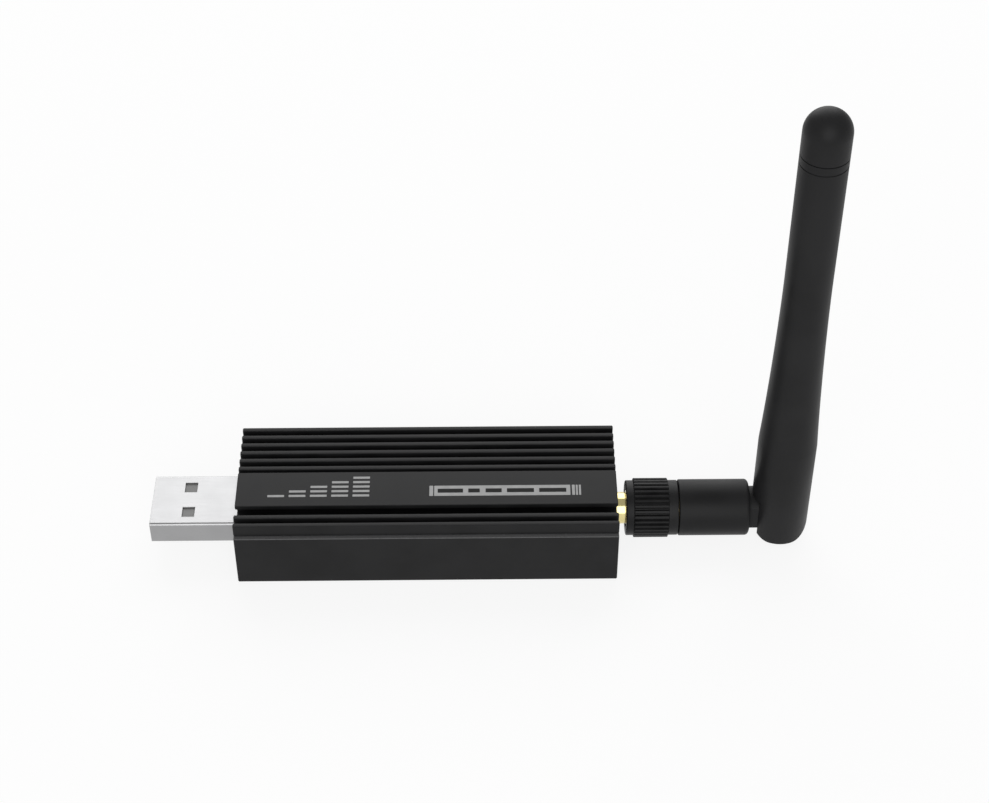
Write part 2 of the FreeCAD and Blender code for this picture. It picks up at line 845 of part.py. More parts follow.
def make_leds():
    leds = []
    first_led = dim.led_side_gap + dim.led_width / 2 - channel_side
    for index in range(counts["status_leds"]):
        middle = first_led + dim.led_spacing * index
        led = new_body("led", is_sub_part=False)
        start = jack_back - dim.jack_leg_length - dim.led_jack_gap - dim.led_length
        left = middle - dim.led_width / 2
        add_block(led, (start, left, board_top), (dim.led_length, dim.led_width, dim.led_base))
        lens_inset = dim.led_length / 5
        lens_size = (dim.led_length - lens_inset * 2, dim.led_width, dim.led_height - dim.led_base)
        add_block(led, (start + lens_inset, left, board_top + dim.led_base), lens_size)
        leds.append(led)
    group("status_leds", leds)


# Antenna jack, drawn along the antenna's own line from the housing's end
def make_jack():
    body = new_body("jack_body", ANTENNA_LINE)
    root = -dim.pocket_depth
    reach = dim.jack_reach
    turn_outline(body, [
        (root, dim.jack_bore_radius),
        (reach, dim.jack_bore_radius),
        (reach, dim.jack_radius - dim.jack_chamfer),
        (reach - dim.jack_chamfer, dim.jack_radius),
        (root, dim.jack_radius),
    ])
    back = root - dim.jack_flange_thickness
    side = dim.jack_flange_side
    add_block(body, (back, -side / 2, -side / 2), (dim.jack_flange_thickness, side, side))
    cut_rod(body, "X", (back, 0, 0), dim.jack_flange_thickness, dim.jack_bore_radius)
    leg = dim.jack_leg_side
    top_leg = board_top - dim.antenna_level
    low_leg = dim.board_level - dim.antenna_level - leg
    for leg_bottom in (top_leg, low_leg):
        for middle in (-dim.jack_leg_spacing / 2, dim.jack_leg_spacing / 2):
            corner = (back - dim.jack_leg_length, middle - leg / 2, leg_bottom)
            add_block(body, corner, (dim.jack_leg_length, leg, leg))


def make_jack_core():
    back = -dim.pocket_depth - dim.jack_flange_thickness
    front = dim.jack_reach - dim.jack_mouth_depth
    dielectric = new_body("jack_dielectric", ANTENNA_LINE)
    inner = dim.jack_contact_radius + dim.dielectric_clearance
    outer = dim.jack_bore_radius - dim.dielectric_clearance
    turn_outline(dielectric, [(back, inner), (front, inner), (front, outer), (back, outer)])
    contact = new_body("jack_contact", ANTENNA_LINE)
    tip = front - dim.jack_contact_recess
    bottom = tip - dim.jack_contact_bore_depth
    turn_outline(contact, [
        (back, 0),
        (bottom, 0),
        (bottom, dim.jack_contact_bore),
        (tip, dim.jack_contact_bore),
        (tip, dim.jack_contact_radius),
        (back, dim.jack_contact_radius),
    ])
    tail = dim.jack_tail_side
    tail_corner = (back - dim.jack_tail_length, -tail / 2, board_top - dim.antenna_level)
    add_block(contact, tail_corner, (dim.jack_tail_length, tail, tail))


# Knurled coupling nut and the split ring that holds it on the antenna
def make_nut():
    body = new_body("coupling_nut", ANTENNA_LINE)
    bore = dim.jack_radius + dim.nut_bore_clearance
    collar = dim.nut_collar_radius
    start = dim.nut_start
    end = dim.nut_end
    groove_start = dim.ring_place - dim.ring_side_play
    groove_end = dim.ring_place + dim.ring_thickness + dim.ring_side_play
    groove = dim.ring_outer_radius + dim.ring_play
    turn_outline(body, [
        (start, bore),
        (groove_start, bore),
        (groove_start, groove),
        (groove_end, groove),
        (groove_end, bore),
        (end, bore),
        (end, collar),
        (start, collar),
    ])
    add_knurl(body)


def add_knurl(body):
    # One straight rib with sloping ends, repeated round the nut.
    root = dim.nut_collar_radius - dim.edge_break
    crest_level = dim.nut_collar_radius + dim.nut_rib_height
    rib_start = dim.nut_start + dim.nut_left_collar
    rib_end = dim.nut_end - dim.nut_right_collar
    half_base = dim.nut_rib_base / 2
    half_crest = dim.nut_rib_crest / 2
    outline = [(-half_base, root), (half_base, root), (half_crest, crest_level), (-half_crest, crest_level)]
    sketch = outline_sketch(body, "YZ", outline)
    bind(sketch, **{"AttachmentOffset.Base.z": rib_start})
    rib = body.newObject("PartDesign::Pad", "Rib")
    rib.Profile = sketch
    bind(rib, Length=rib_end - rib_start)
    pattern = body.newObject("PartDesign::PolarPattern", "Knurl")
    pattern.Originals = [rib]
    pattern.Axis = (sketch, ["N_Axis"])
    pattern.Angle = 360
    pattern.Occurrences = counts["knurl_ribs"]
    body.Tip = pattern


def make_retaining_ring():
    body = new_body("nut_retaining_ring", ANTENNA_LINE)
    start = dim.ring_place
    end = dim.ring_place + dim.ring_thickness
    turn_outline(body, [
        (start, dim.ring_inner_radius),
        (end, dim.ring_inner_radius),
        (end, dim.ring_outer_radius),
        (start, dim.ring_outer_radius),
    ])
    gap = dim.ring_gap
    cut_block(body, (start, -gap / 2, 0), (dim.ring_thickness, gap, dim.ring_outer_radius + dim.ring_play))


# Antenna connector: the ferrule, the pin and the cable in the stem
def make_connector():
    ferrule = new_body("connector_ferrule", ANTENNA_LINE)
    end = neck_start() - dim.ferrule_end_gap
    bore = dim.coax_radius + dim.coax_clearance
    groove = dim.ring_inner_radius - dim.ring_play
    groove_start = dim.ring_place - dim.ring_side_play
    groove_end = dim.ring_place + dim.ring_thickness + dim.ring_side_play
    turn_outline(ferrule, [
        (dim.nose_start, bore),
        (end, bore),
        (end, dim.ferrule_radius),
        (groove_end, dim.ferrule_radius),
        (groove_end, groove),
        (groove_start, groove),
        (groove_start, dim.ferrule_radius),
        (dim.nose_end, dim.ferrule_radius),
        (dim.nose_end, dim.nose_radius),
        (dim.nose_start, dim.nose_radius),
    ])
    coax = new_body("stem_coax", ANTENNA_LINE)
    coax_start = dim.nose_start + dim.nose_recess
    coax_end = hinge_place() - dim.neck_radius
    add_rod(coax, "X", (coax_start, 0, 0), coax_end - coax_start, dim.coax_radius)
    pin = new_body("antenna_pin", ANTENNA_LINE)
    add_rod(pin, "X", (dim.pin_reach, 0, 0), coax_start - dim.pin_reach, dim.pin_radius)


def barrel_start():
    return dim.nut_end + dim.barrel_gap


def barrel_end():
    return barrel_start() + dim.barrel_length


def hinge_place():
    return barrel_end() + dim.hinge_reach


def neck_start():
    return barrel_end() - dim.neck_root


def make_barrel():
    body = new_body("antenna_barrel", ANTENNA_LINE)
    narrow = dim.ferrule_radius + dim.barrel_clearance
    wide = dim.neck_radius + dim.barrel_clearance
    start = barrel_start()
    end = barrel_end()
    step = neck_start() - dim.neck_root_gap
    turn_outline(body, [
        (start, narrow),
        (step, narrow),
        (step, wide),
        (end, wide),
        (end, dim.barrel_radius - dim.barrel_edge),
        (end - dim.barrel_edge, dim.barrel_radius),
        (start, dim.barrel_radius),
    ])


def make_knuckle():
    # A round neck, flattened to a tongue outside the barrel and rounded about its trunnions.
    centre = hinge_place()
    radius = dim.neck_radius
    body = new_body("hinge_knuckle", (half_length + centre, dim.axis_offset, dim.antenna_level))
    coax_bore = dim.coax_radius + dim.coax_clearance
    root = neck_start() - centre
    turn_outline(body, [
        (root, coax_bore),
        (-radius, coax_bore),
        (-radius, 0),
        (radius, 0),
        (radius, radius),
        (root, radius),
    ])
    flat_start = barrel_end() - dim.flat_inset - centre
    flat_depth = radius - dim.tongue_half_width
    for left in (dim.tongue_half_width, -radius):
        cut_block(body, (flat_start, left, -radius), (radius - flat_start, flat_depth, radius * 2))
    # the end swings inside the whip's slot, so it is round about the trunnions
    room = radius * 2
    upper_corner = [
        (radius, 0, radius),
        (0, radius),
        (0, room),
        (room, room),
        (room, 0),
    ]
    lower_corner = [
        (0, -radius, radius),
        (radius, 0),
        (room, 0),
        (room, -room),
        (0, -room),
    ]
    cut_pocket(body, "XZ", room, upper_corner)
    cut_pocket(body, "XZ", room, lower_corner)
    reach = dim.tongue_half_width + dim.trunnion_length
    add_rod(body, "Y", (0, -reach, 0), reach * 2, dim.trunnion_radius)


# Whip: slotted base, tapered sleeve, rounded cap and the radiator inside
def whip_place():
    return (half_length + hinge_place(), dim.axis_offset, dim.antenna_level)


def whip_profile():
    base = dim.whip_base_radius
    bore = dim.whip_radius - dim.whip_wall
    length = dim.whip_taper_length
    drop = base - dim.whip_radius
    taper_curve = (length * length + drop * drop) / (drop * 2)
    return [
        (0, -dim.whip_foot),
        (base, -dim.whip_foot),
        (base, dim.whip_base_top, taper_curve, HOLLOW),
        (dim.whip_radius, dim.whip_base_top + length),
        (dim.whip_radius, dim.whip_cap_seam),
        (bore, dim.whip_cap_seam),
        (bore, dim.whip_bore_start),
        (0, dim.whip_bore_start),
    ]


def make_whip_sleeve():
    body = new_body("whip_sleeve", whip_place())
    turn_outline(body, whip_profile(), "Z")
    room = dim.whip_base_radius * 2
    foot = dim.whip_foot
    swing = dim.neck_radius + dim.hinge_end_play
    # the slot for the knuckle, open below and towards the stem
    slot = [
        (-room, -foot * 2),
        (swing, -foot * 2),
        (swing, 0, swing),
        (0, swing),
        (-room, swing),
    ]
    cut_pocket(body, "XZ", (dim.tongue_half_width + dim.hinge_side_play) * 2, slot)
    # the rounded lower corners that swing past the barrel
    base = dim.whip_base_radius
    rounding = dim.whip_foot_rounding
    right_corner = [
        (base - rounding, -foot, rounding),
        (base, rounding - foot),
        (room, rounding - foot),
        (room, -foot * 2),
        (base - rounding, -foot * 2),
    ]
    left_corner = [
        (-base, rounding - foot, rounding),
        (rounding - base, -foot),
        (rounding - base, -foot * 2),
        (-room, -foot * 2),
        (-room, rounding - foot),
    ]
    cut_pocket(body, "XZ", room, right_corner)
    cut_pocket(body, "XZ", room, left_corner)
    depth = dim.tongue_half_width + dim.trunnion_length + dim.hinge_side_play
    cut_rod(body, "Y", (0, -depth, 0), depth * 2, dim.trunnion_radius + dim.trunnion_play)


def make_tip_cap():
    # A plug in the sleeve's bore under a dome, whose arc is stepped in equal angles.
    body = new_body("tip_cap", whip_place())
    seam = dim.whip_cap_seam
    radius = dim.whip_radius
    plug = radius - dim.whip_wall - dim.cap_plug_clearance
    outline = [
        (0, seam - dim.cap_plug_length),
        (plug, seam - dim.cap_plug_length),
        (plug, seam),
        (radius, seam),
    ]
    for step in range(counts["dome_steps"] + 1):
        angle = math.pi / 2 * step / counts["dome_steps"]
        rise = dim.whip_dome_place + radius * math.sin(angle)
        outline.append((radius * math.cos(angle) if step < counts["dome_steps"] else 0, rise))
    turn_outline(body, outline, "Z")


def make_radiator():
    tube = new_body("radiator_tube", whip_place())
    outer = dim.whip_radius - dim.whip_wall - dim.tube_clearance
    inner = outer - dim.tube_wall
    start = dim.tube_start
    end = dim.tube_start + dim.tube_length
    turn_outline(tube, [(inner, start), (outer, start), (outer, end), (inner, end)], "Z")
    coax = new_body("whip_coax", whip_place())
    coax_start = dim.whip_coax_start
    coax_end = end + dim.whip_coax_overhang
    add_rod(coax, "Z", (0, 0, coax_start), coax_end - coax_start, dim.coax_radius)
    wire = new_body("radiator_wire", whip_place())
    wire_end = dim.whip_cap_seam - dim.cap_plug_length - dim.wire_end_gap
    add_rod(wire, "Z", (0, 0, coax_end), wire_end - coax_end, dim.wire_radius)


def make_everything():
    make_housing()
    make_end_plates()
    make_screws()
    make_board()
    make_plug_shell()
    make_insulator()
    make_contacts()
    make_shield_can()
    make_chip("radio_chip", can_place, dim.radio_side, dim.radio_height)
    make_crystal()
    make_chip("usb_bridge_chip", bridge_place, dim.bridge_side, dim.bridge_height)
    make_regulator()
    make_inductor()
    make_capacitors()
    make_leds()
    make_jack()
    make_jack_core()
    make_nut()
    make_retaining_ring()
    make_connector()
    make_barrel()
    make_knuckle()
    make_whip_sleeve()
    make_tip_cap()
    make_radiator()


def check_and_write():
    document.recompute()
    failed = [item.Label for item in document.Objects if {"Invalid", "Error"} & set(item.State)]
    if failed:
        raise RuntimeError(f"These objects failed: {', '.join(failed)}")
    for part in sub_parts:
        shape = part.Shape
        if shape.isNull() or not shape.isValid() or not shape.Solids:
            raise RuntimeError(f"{part.Label} has no valid solid")
    os.makedirs("parts", exist_ok=True)
    for part in sub_parts:
        part.Shape.exportStep(f"parts/{part.Label}.step")
        print(part.Label, len(part.Shape.Solids), round(part.Shape.Volume, 2))


make_everything()
check_and_write()
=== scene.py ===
import math

import bmesh
import bpy
from mathutils import Matrix, Vector


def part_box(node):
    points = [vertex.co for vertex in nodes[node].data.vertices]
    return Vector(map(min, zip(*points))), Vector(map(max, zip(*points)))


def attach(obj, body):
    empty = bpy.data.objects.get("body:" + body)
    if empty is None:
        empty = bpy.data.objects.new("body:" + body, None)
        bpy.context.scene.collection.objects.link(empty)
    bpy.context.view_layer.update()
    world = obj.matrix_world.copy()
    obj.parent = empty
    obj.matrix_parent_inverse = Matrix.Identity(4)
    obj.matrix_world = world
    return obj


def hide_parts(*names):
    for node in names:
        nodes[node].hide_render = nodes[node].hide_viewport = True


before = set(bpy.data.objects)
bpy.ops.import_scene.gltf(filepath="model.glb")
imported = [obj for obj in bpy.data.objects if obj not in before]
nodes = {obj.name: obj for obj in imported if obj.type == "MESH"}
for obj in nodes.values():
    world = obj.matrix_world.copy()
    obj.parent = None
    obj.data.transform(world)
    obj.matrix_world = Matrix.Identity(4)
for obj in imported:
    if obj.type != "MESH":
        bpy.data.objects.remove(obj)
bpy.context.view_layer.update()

# lengths are in millimetres until a finished mesh is scaled to metres
toMetres = 0.001
collection = bpy.context.scene.collection

# the antenna's line runs along X, and the whip stands on the hinge
antennaStart = Vector((33.05, -0.65, 5.55))
hingeCentre = Vector((62.25, -0.65, 5.55))
bandTop = 13.5
overreach = 1  # how far a cut goes past what it cuts


# Mesh helpers

meshLook = {
    "mergeDistance": 0.0005,
    "flatAngle": 1,
    "smoothAngle": 35,
    "rodSegments": 64,
    "largeRounding": 2,
    "largeSegments": 24,
    "smallSegments": 5,
}


# corners are (along, radius, rounding)
def wireProfile(corners, closed):
    mesh = bmesh.new()
    verts = [mesh.verts.new((along, 0, radius)) for along, radius, rounding in corners]
    for first, second in zip(verts, verts[1:]):
        mesh.edges.new((first, second))
    if closed:
        mesh.edges.new((verts[-1], verts[0]))
    for vert, (along, radius, rounding) in zip(verts, corners):
        if rounding:
            large = rounding > meshLook["largeRounding"]
            bmesh.ops.bevel(
                mesh,
                geom=[vert],
                offset=rounding,
                offset_type="OFFSET",
                affect="VERTICES",
                segments=meshLook["largeSegments" if large else "smallSegments"],
                profile=0.5,
                material=-1,
            )
    return mesh


# the profile turned about X; one that isn't closed starts and ends on the axis
def turned(corners, steps, closed=True):
    mesh = wireProfile(corners, closed)
    bmesh.ops.spin(
        mesh,
        geom=mesh.verts[:] + mesh.edges[:],
        cent=(0, 0, 0),
        axis=(1, 0, 0),
        steps=steps,
        angle=math.tau,
        use_merge=True,
    )
    mergeAndTurn(mesh)
    return mesh


# doubles are merged and the faces turned outwards
def mergeAndTurn(mesh):
    bmesh.ops.remove_doubles(mesh, verts=mesh.verts, dist=meshLook["mergeDistance"])
    bmesh.ops.recalc_face_normals(mesh, faces=mesh.faces)


def block(low, high):
    mesh = bmesh.new()
    bmesh.ops.create_cube(mesh, size=1)
    low, high = Vector(low), Vector(high)
    bmesh.ops.scale(mesh, vec=high - low, verts=mesh.verts)
    bmesh.ops.translate(mesh, vec=(low + high) / 2, verts=mesh.verts)
    return mesh


# a block whose edges across the hinge are rounded where side accepts their middle
def roundedBlock(low, high, rounding, side, segments):
    mesh = block(low, high)
    chosen = []
    for edge in mesh.edges:
        first, second = (vert.co for vert in edge.verts)
        across = abs(second.y - first.y) > meshLook["mergeDistance"]
        if across and side((first + second) / 2):
            chosen.append(edge)
    bevelEdges(mesh, chosen, rounding, segments)
    return mesh


# a rod across the hinge, centred on the origin
def crossRod(reach, radius):
    mesh = bmesh.new()
    bmesh.ops.create_cone(
        mesh,
        cap_ends=True,
        segments=meshLook["rodSegments"],
        radius1=radius,
        radius2=radius,
        depth=reach * 2,
    )
    bmesh.ops.rotate(
        mesh, cent=(0, 0, 0), matrix=Matrix.Rotation(math.pi / 2, 3, "X"), verts=mesh.verts
    )
    return mesh


def bevelEdges(mesh, edges, width, segments):
    bmesh.ops.bevel(
        mesh,
        geom=edges,
        offset=width,
        offset_type="OFFSET",
        affect="EDGES",
        segments=segments,
        profile=0.5,
        material=-1,
        clamp_overlap=True,
    )


def sharpEdges(mesh, degrees):
    return [
        edge for edge in mesh.edges
        if edge.is_manifold and edge.calc_face_angle(0) > math.radians(degrees)
    ]


def asObject(mesh, name):
    data = bpy.data.meshes.new(name)
    mesh.to_mesh(data)
    mesh.free()
    piece = bpy.data.objects.new(name, data)
    collection.objects.link(piece)
    return piece


# a boolean of two meshes, which uses both up
def combine(first, second, operation):
    base = asObject(first, "base")
    tool = asObject(second, "tool")
    step = base.modifiers.new("step", "BOOLEAN")
    step.operation = operation
    step.solver = "EXACT"
    step.object = tool
    result = bmesh.new()
    result.from_object(base, bpy.context.evaluated_depsgraph_get())
    for used in (base, tool):
        data = used.data
        bpy.data.objects.remove(used)
        bpy.data.meshes.remove(data)
    mergeAndTurn(result)
    return result


# the second mesh goes into the first, and is used up
def join(first, second):
    data = bpy.data.meshes.new("joined")
    second.to_mesh(data)
    second.free()
    first.from_mesh(data)
    bpy.data.meshes.remove(data)
    return first


# a merged copy of a solid's mesh, with its flat faces made whole and its own shading normals gone
def solidCopy(node):
    data = nodes[node].data.copy()
    if "custom_normal" in data.attributes:
        data.attributes.remove(data.attributes["custom_normal"])
    mesh = bmesh.new()
    mesh.from_mesh(data)
    bpy.data.meshes.remove(data)
    bmesh.ops.scale(mesh, vec=(1 / toMetres,) * 3, verts=mesh.verts)
    bmesh.ops.remove_doubles(mesh, verts=mesh.verts, dist=meshLook["mergeDistance"])
    bmesh.ops.dissolve_limit(
        mesh,
        angle_limit=math.radians(meshLook["flatAngle"]),
        verts=mesh.verts,
        edges=mesh.edges,
    )
    bmesh.ops.recalc_face_normals(mesh, faces=mesh.faces)
    return mesh


# scales and shades the mesh, and lets it ride on its body
def makePiece(mesh, name, body, finish, smoothAngle):
    bmesh.ops.scale(mesh, vec=(toMetres,) * 3, verts=mesh.verts)
    piece = asObject(mesh, name)
    piece.data.shade_smooth()
    piece.data.set_sharp_from_angle(angle=math.radians(smoothAngle))
    piece.data.materials.append(finish)
    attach(piece, body)
    return piece


# a piece in its slot's finish that stands for a solid
def dress(mesh, name, body, slot, node, smoothAngle=meshLook["smoothAngle"]):
    piece = makePiece(mesh, name, body, finishes[slot], smoothAngle)
    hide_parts(node)
    return piece


# keeps broad flat faces flat beside their broken edges
def weightNormals(piece):
    normals = piece.modifiers.new("faceNormals", "WEIGHTED_NORMAL")
    normals.keep_sharp = True


# Finish helpers

coatRoughness = 0.1
noiseLow, noiseHigh = 0.3, 0.7  # most of a noise lies between these


def startFinish(name, look):
    finish = bpy.data.materials.new(name)
    finish.use_nodes = True
    tree = finish.node_tree
    shader = tree.nodes["Principled BSDF"]
    shader.inputs["Metallic"].default_value = look.get("metallic", 0)
    shader.inputs["Specular IOR Level"].default_value = look.get("specular", 0.5)
    shader.inputs["Coat Weight"].default_value = look.get("coat", 0)
    shader.inputs["Coat Roughness"].default_value = coatRoughness
    place = tree.nodes.new("ShaderNodeTexCoord")
    return finish, tree, shader, place.outputs["Object"]


def stretched(tree, place, stretch):
    mapping = tree.nodes.new("ShaderNodeMapping")
    mapping.inputs["Scale"].default_value = stretch
    tree.links.new(place, mapping.inputs["Vector"])
    return mapping.outputs["Vector"]


# noise whose features are about size millimetres wide
def noise(tree, place, size, detail=3, roughness=0.5):
    texture = tree.nodes.new("ShaderNodeTexNoise")
    texture.inputs["Scale"].default_value = 1 / (size * toMetres)
    texture.inputs["Detail"].default_value = detail
    texture.inputs["Roughness"].default_value = roughness
    tree.links.new(place, texture.inputs["Vector"])
    return texture.outputs["Fac"]


def tones(tree, factor, stops, colours):
    ramp = tree.nodes.new("ShaderNodeValToRGB")
    elements = ramp.color_ramp.elements
    while len(elements) < len(stops):
        elements.new(0.5)
    for element, position, colour in zip(elements, stops, colours):
        element.position = position
        element.color = (*colour, 1)
    tree.links.new(factor, ramp.inputs["Fac"])
    return ramp.outputs["Color"]


# the noise spread between two values
def spread(tree, factor, low, high):
    span = tree.nodes.new("ShaderNodeMapRange")
    span.inputs["From Min"].default_value = noiseLow
    span.inputs["From Max"].default_value = noiseHigh
    span.inputs["To Min"].default_value = low
    span.inputs["To Max"].default_value = high
    tree.links.new(factor, span.inputs["Value"])
    return span.outputs["Result"]


# fine relief, laid over another one where under is given
def relief(tree, shader, height, depth, strength, under=None):
    bump = tree.nodes.new("ShaderNodeBump")
    bump.inputs["Distance"].default_value = depth * toMetres
    bump.inputs["Strength"].default_value = strength
    tree.links.new(height, bump.inputs["Height"])
    if under:
        tree.links.new(under, bump.inputs["Normal"])
    tree.links.new(bump.outputs["Normal"], shader.inputs["Normal"])
    return bump.outputs["Normal"]


# a colour made paler or darker by a share
def shaded(colour, change):
    return tuple(min(1, max(0, part * (1 + change))) for part in colour)


mouldedStops = (0.3, 0.62, 0.78)
mouldedRub = 1.5  # how much paler the rubbed specks are than the patches


# plastic, ceramic and paint: a fine grain over slow patches, with paler rubbed specks
def moulded(name, look):
    finish, tree, shader, place = startFinish(name, look)
    patches = noise(tree, place, look["patch"], detail=4)
    grain = noise(tree, place, look["grain"], detail=2, roughness=0.6)
    colour, change = look["colour"], look["change"]
    toned = tones(tree, patches, mouldedStops, (
        shaded(colour, -change), shaded(colour, change), shaded(colour, change * mouldedRub),
    ))
    tree.links.new(toned, shader.inputs["Base Color"])
    tree.links.new(spread(tree, patches, *look["rough"]), shader.inputs["Roughness"])
    relief(tree, shader, grain, look["depth"], look["bump"])
    return finish


tarnishStops = (0.32, 0.68)


# bare or plated metal: streaks along one direction over slow tarnish and a fine grain
def drawnMetal(name, look):
    finish, tree, shader, place = startFinish(name, look)
    drawn = stretched(tree, place, look["stretch"])
    streaks = noise(tree, drawn, look["streak"], detail=4, roughness=0.6)
    tarnish = noise(tree, place, look["patch"], detail=4)
    grain = noise(tree, place, look["grain"], detail=2)
    colour = look["colour"]
    toned = tones(tree, tarnish, tarnishStops, (shaded(colour, -look["change"]), colour))
    tree.links.new(toned, shader.inputs["Base Color"])
    tree.links.new(spread(tree, streaks, *look["rough"]), shader.inputs["Roughness"])
    first = relief(tree, shader, streaks, look["depth"], look["bump"])
    relief(tree, shader, grain, look["depth"], look["bump"], first)
    return finish


# Finishes by material slot

anodisedLook = {
    "colour": (0.009, 0.009, 0.0094),
    "change": 0.2,
    "paleChange": 0.36,
    "patch": 7.0,
    "patchStops": (0.3, 0.6, 0.8),
    "rough": (0.36, 0.47),
    "specular": 0.15,
    "blast": 0.16,
    "depth": 0.02,
    "bump": 0.32,
    "dieLine": 0.5,
    "dieStretch": (0.02, 1, 1),
    "dieDepth": 0.008,
    "dieBump": 0.16,
    # a painted highlight: the pale band's colour along the ledges, its spread, and the height
    # where it lies
    "ledgeHighlight": (0.11, 0.11, 0.112),
    "ledgeHighlightChange": 0.35,
    "ledgeHighlightStops": (0.3, 0.7),
    "ledgeHighlightLevel": 11.0,
    "ledgeHighlightHeight": 0.16,
}


# bead-blasted and dyed aluminium, with faint die lines along the extrusion and a painted
# highlight along both ledges
def anodisedFinish(look):
    finish, tree, shader, place = startFinish("anodisedHousing", look)
    drawn = stretched(tree, place, look["dieStretch"])
    dieLines = noise(tree, drawn, look["dieLine"], detail=3)
    blast = noise(tree, place, look["blast"], detail=3, roughness=0.65)
    patches = noise(tree, place, look["patch"], detail=4)
    colour, ledgeHighlight = look["colour"], look["ledgeHighlight"]
    toned = tones(tree, patches, look["patchStops"], (
        shaded(colour, -look["change"]),
        shaded(colour, look["change"]),
        shaded(colour, look["paleChange"]),
    ))
    # a painted highlight: a pale band along both ledges, at the ledges' height, stands in for the
    # light they catch
    paintedHighlight = tones(tree, blast, look["ledgeHighlightStops"], (
        shaded(ledgeHighlight, -look["ledgeHighlightChange"]), ledgeHighlight,
    ))
    split = tree.nodes.new("ShaderNodeSeparateXYZ")
    tree.links.new(place, split.inputs["Vector"])
    ledgeHighlightMask = tree.nodes.new("ShaderNodeMath")
    ledgeHighlightMask.operation = "COMPARE"
    ledgeHighlightMask.inputs[1].default_value = look["ledgeHighlightLevel"] * toMetres
    ledgeHighlightMask.inputs[2].default_value = look["ledgeHighlightHeight"] * toMetres
    tree.links.new(split.outputs["Z"], ledgeHighlightMask.inputs[0])
    paint = tree.nodes.new("ShaderNodeMix")
    paint.data_type = "RGBA"
    tree.links.new(ledgeHighlightMask.outputs["Value"], paint.inputs["Factor"])
    tree.links.new(toned, paint.inputs[6])  # the two colours are inputs 6 and 7
    tree.links.new(paintedHighlight, paint.inputs[7])
    tree.links.new(paint.outputs[2], shader.inputs["Base Color"])
    tree.links.new(spread(tree, patches, *look["rough"]), shader.inputs["Roughness"])
    lines = relief(tree, shader, dieLines, look["dieDepth"], look["dieBump"])
    relief(tree, shader, blast, look["depth"], look["bump"], lines)
    return finish


boardLook = {
    "mask": (0.004, 0.018, 0.008),
    "maskChange": 0.2,
    "copper": (0.012, 0.045, 0.018),
    "trackStops": (0.42, 0.46, 0.8),
    "track": 1.5,
    "patch": 4.0,
    "rough": (0.28, 0.42),
    "specular": 0.5,
    "coat": 0.4,
    "depth": 0.02,
    "bump": 0.4,
    "weave": 3.6,
    "weaveBend": 1.5,
    "weaveDepth": 0.006,
    "weaveBump": 0.2,
}


# solder mask over copper tracks and a woven core
def boardFinish(look):
    finish, tree, shader, place = startFinish("solderMask", look)
    tracks = tree.nodes.new("ShaderNodeTexVoronoi")
    tracks.distance = "CHEBYCHEV"
    tracks.feature = "F1"
    tracks.inputs["Scale"].default_value = 1 / (look["track"] * toMetres)
    tree.links.new(place, tracks.inputs["Vector"])
    weave = tree.nodes.new("ShaderNodeTexWave")
    weave.inputs["Scale"].default_value = 1 / (look["weave"] * toMetres)
    weave.inputs["Distortion"].default_value = look["weaveBend"]
    tree.links.new(place, weave.inputs["Vector"])
    mask = look["mask"]
    distance = tracks.outputs["Distance"]
    toned = tones(tree, distance, look["trackStops"], (
        look["copper"], mask, shaded(mask, -look["maskChange"]),
    ))
    tree.links.new(toned, shader.inputs["Base Color"])
    patches = noise(tree, place, look["patch"])
    tree.links.new(spread(tree, patches, *look["rough"]), shader.inputs["Roughness"])
    fibres = relief(
        tree, shader, weave.outputs["Fac"], look["weaveDepth"], look["weaveBump"]
    )
    relief(tree, shader, distance, look["depth"], look["bump"], fibres)
    return finish


mouldedLooks = {
    "plate_black": {
        "colour": (0.014, 0.014, 0.015), "change": 0.2, "patch": 4.0, "grain": 0.15,
        "rough": (0.45, 0.6), "specular": 0.4, "depth": 0.015, "bump": 0.3,
    },
    "plug_plastic": {
        "colour": (0.16, 0.16, 0.158), "change": 0.1, "patch": 3.0, "grain": 0.15,
        "rough": (0.4, 0.5), "specular": 0.5, "depth": 0.01, "bump": 0.2,
    },
    "chip_plastic": {
        "colour": (0.018, 0.018, 0.019), "change": 0.25, "patch": 1.5, "grain": 0.08,
        "rough": (0.5, 0.65), "specular": 0.4, "depth": 0.01, "bump": 0.35,
    },
    "ferrite": {
        "colour": (0.06, 0.058, 0.056), "change": 0.25, "patch": 0.9, "grain": 0.1,
        "rough": (0.6, 0.8), "specular": 0.35, "depth": 0.02, "bump": 0.4,
    },
    "ceramic_chip": {
        "colour": (0.36, 0.25, 0.15), "change": 0.12, "patch": 0.5, "grain": 0.06,
        "rough": (0.35, 0.5), "specular": 0.5, "depth": 0.005, "bump": 0.2,
    },
    "led_resin": {
        "colour": (0.75, 0.76, 0.68), "change": 0.06, "patch": 0.8, "grain": 0.08,
        "rough": (0.2, 0.32), "specular": 0.5, "coat": 0.3, "depth": 0.005, "bump": 0.15,
    },
    "white_insulator": {
        "colour": (0.82, 0.81, 0.78), "change": 0.04, "patch": 1.5, "grain": 0.1,
        "rough": (0.4, 0.52), "specular": 0.4, "depth": 0.01, "bump": 0.2,
    },
    "nut_black": {
        "colour": (0.012, 0.012, 0.0125), "change": 0.22, "patch": 2.5, "grain": 0.12,
        "rough": (0.36, 0.48), "specular": 0.14, "depth": 0.012, "bump": 0.28,
    },
    "cable_jacket": {
        "colour": (0.02, 0.02, 0.021), "change": 0.2, "patch": 3.0, "grain": 0.2,
        "rough": (0.45, 0.6), "specular": 0.4, "depth": 0.01, "bump": 0.25,
    },
    "antenna_plastic": {
        "colour": (0.0135, 0.0135, 0.014), "change": 0.14, "patch": 9.0, "grain": 0.13,
        "rough": (0.4, 0.5), "specular": 0.11, "depth": 0.012, "bump": 0.24,
    },
}

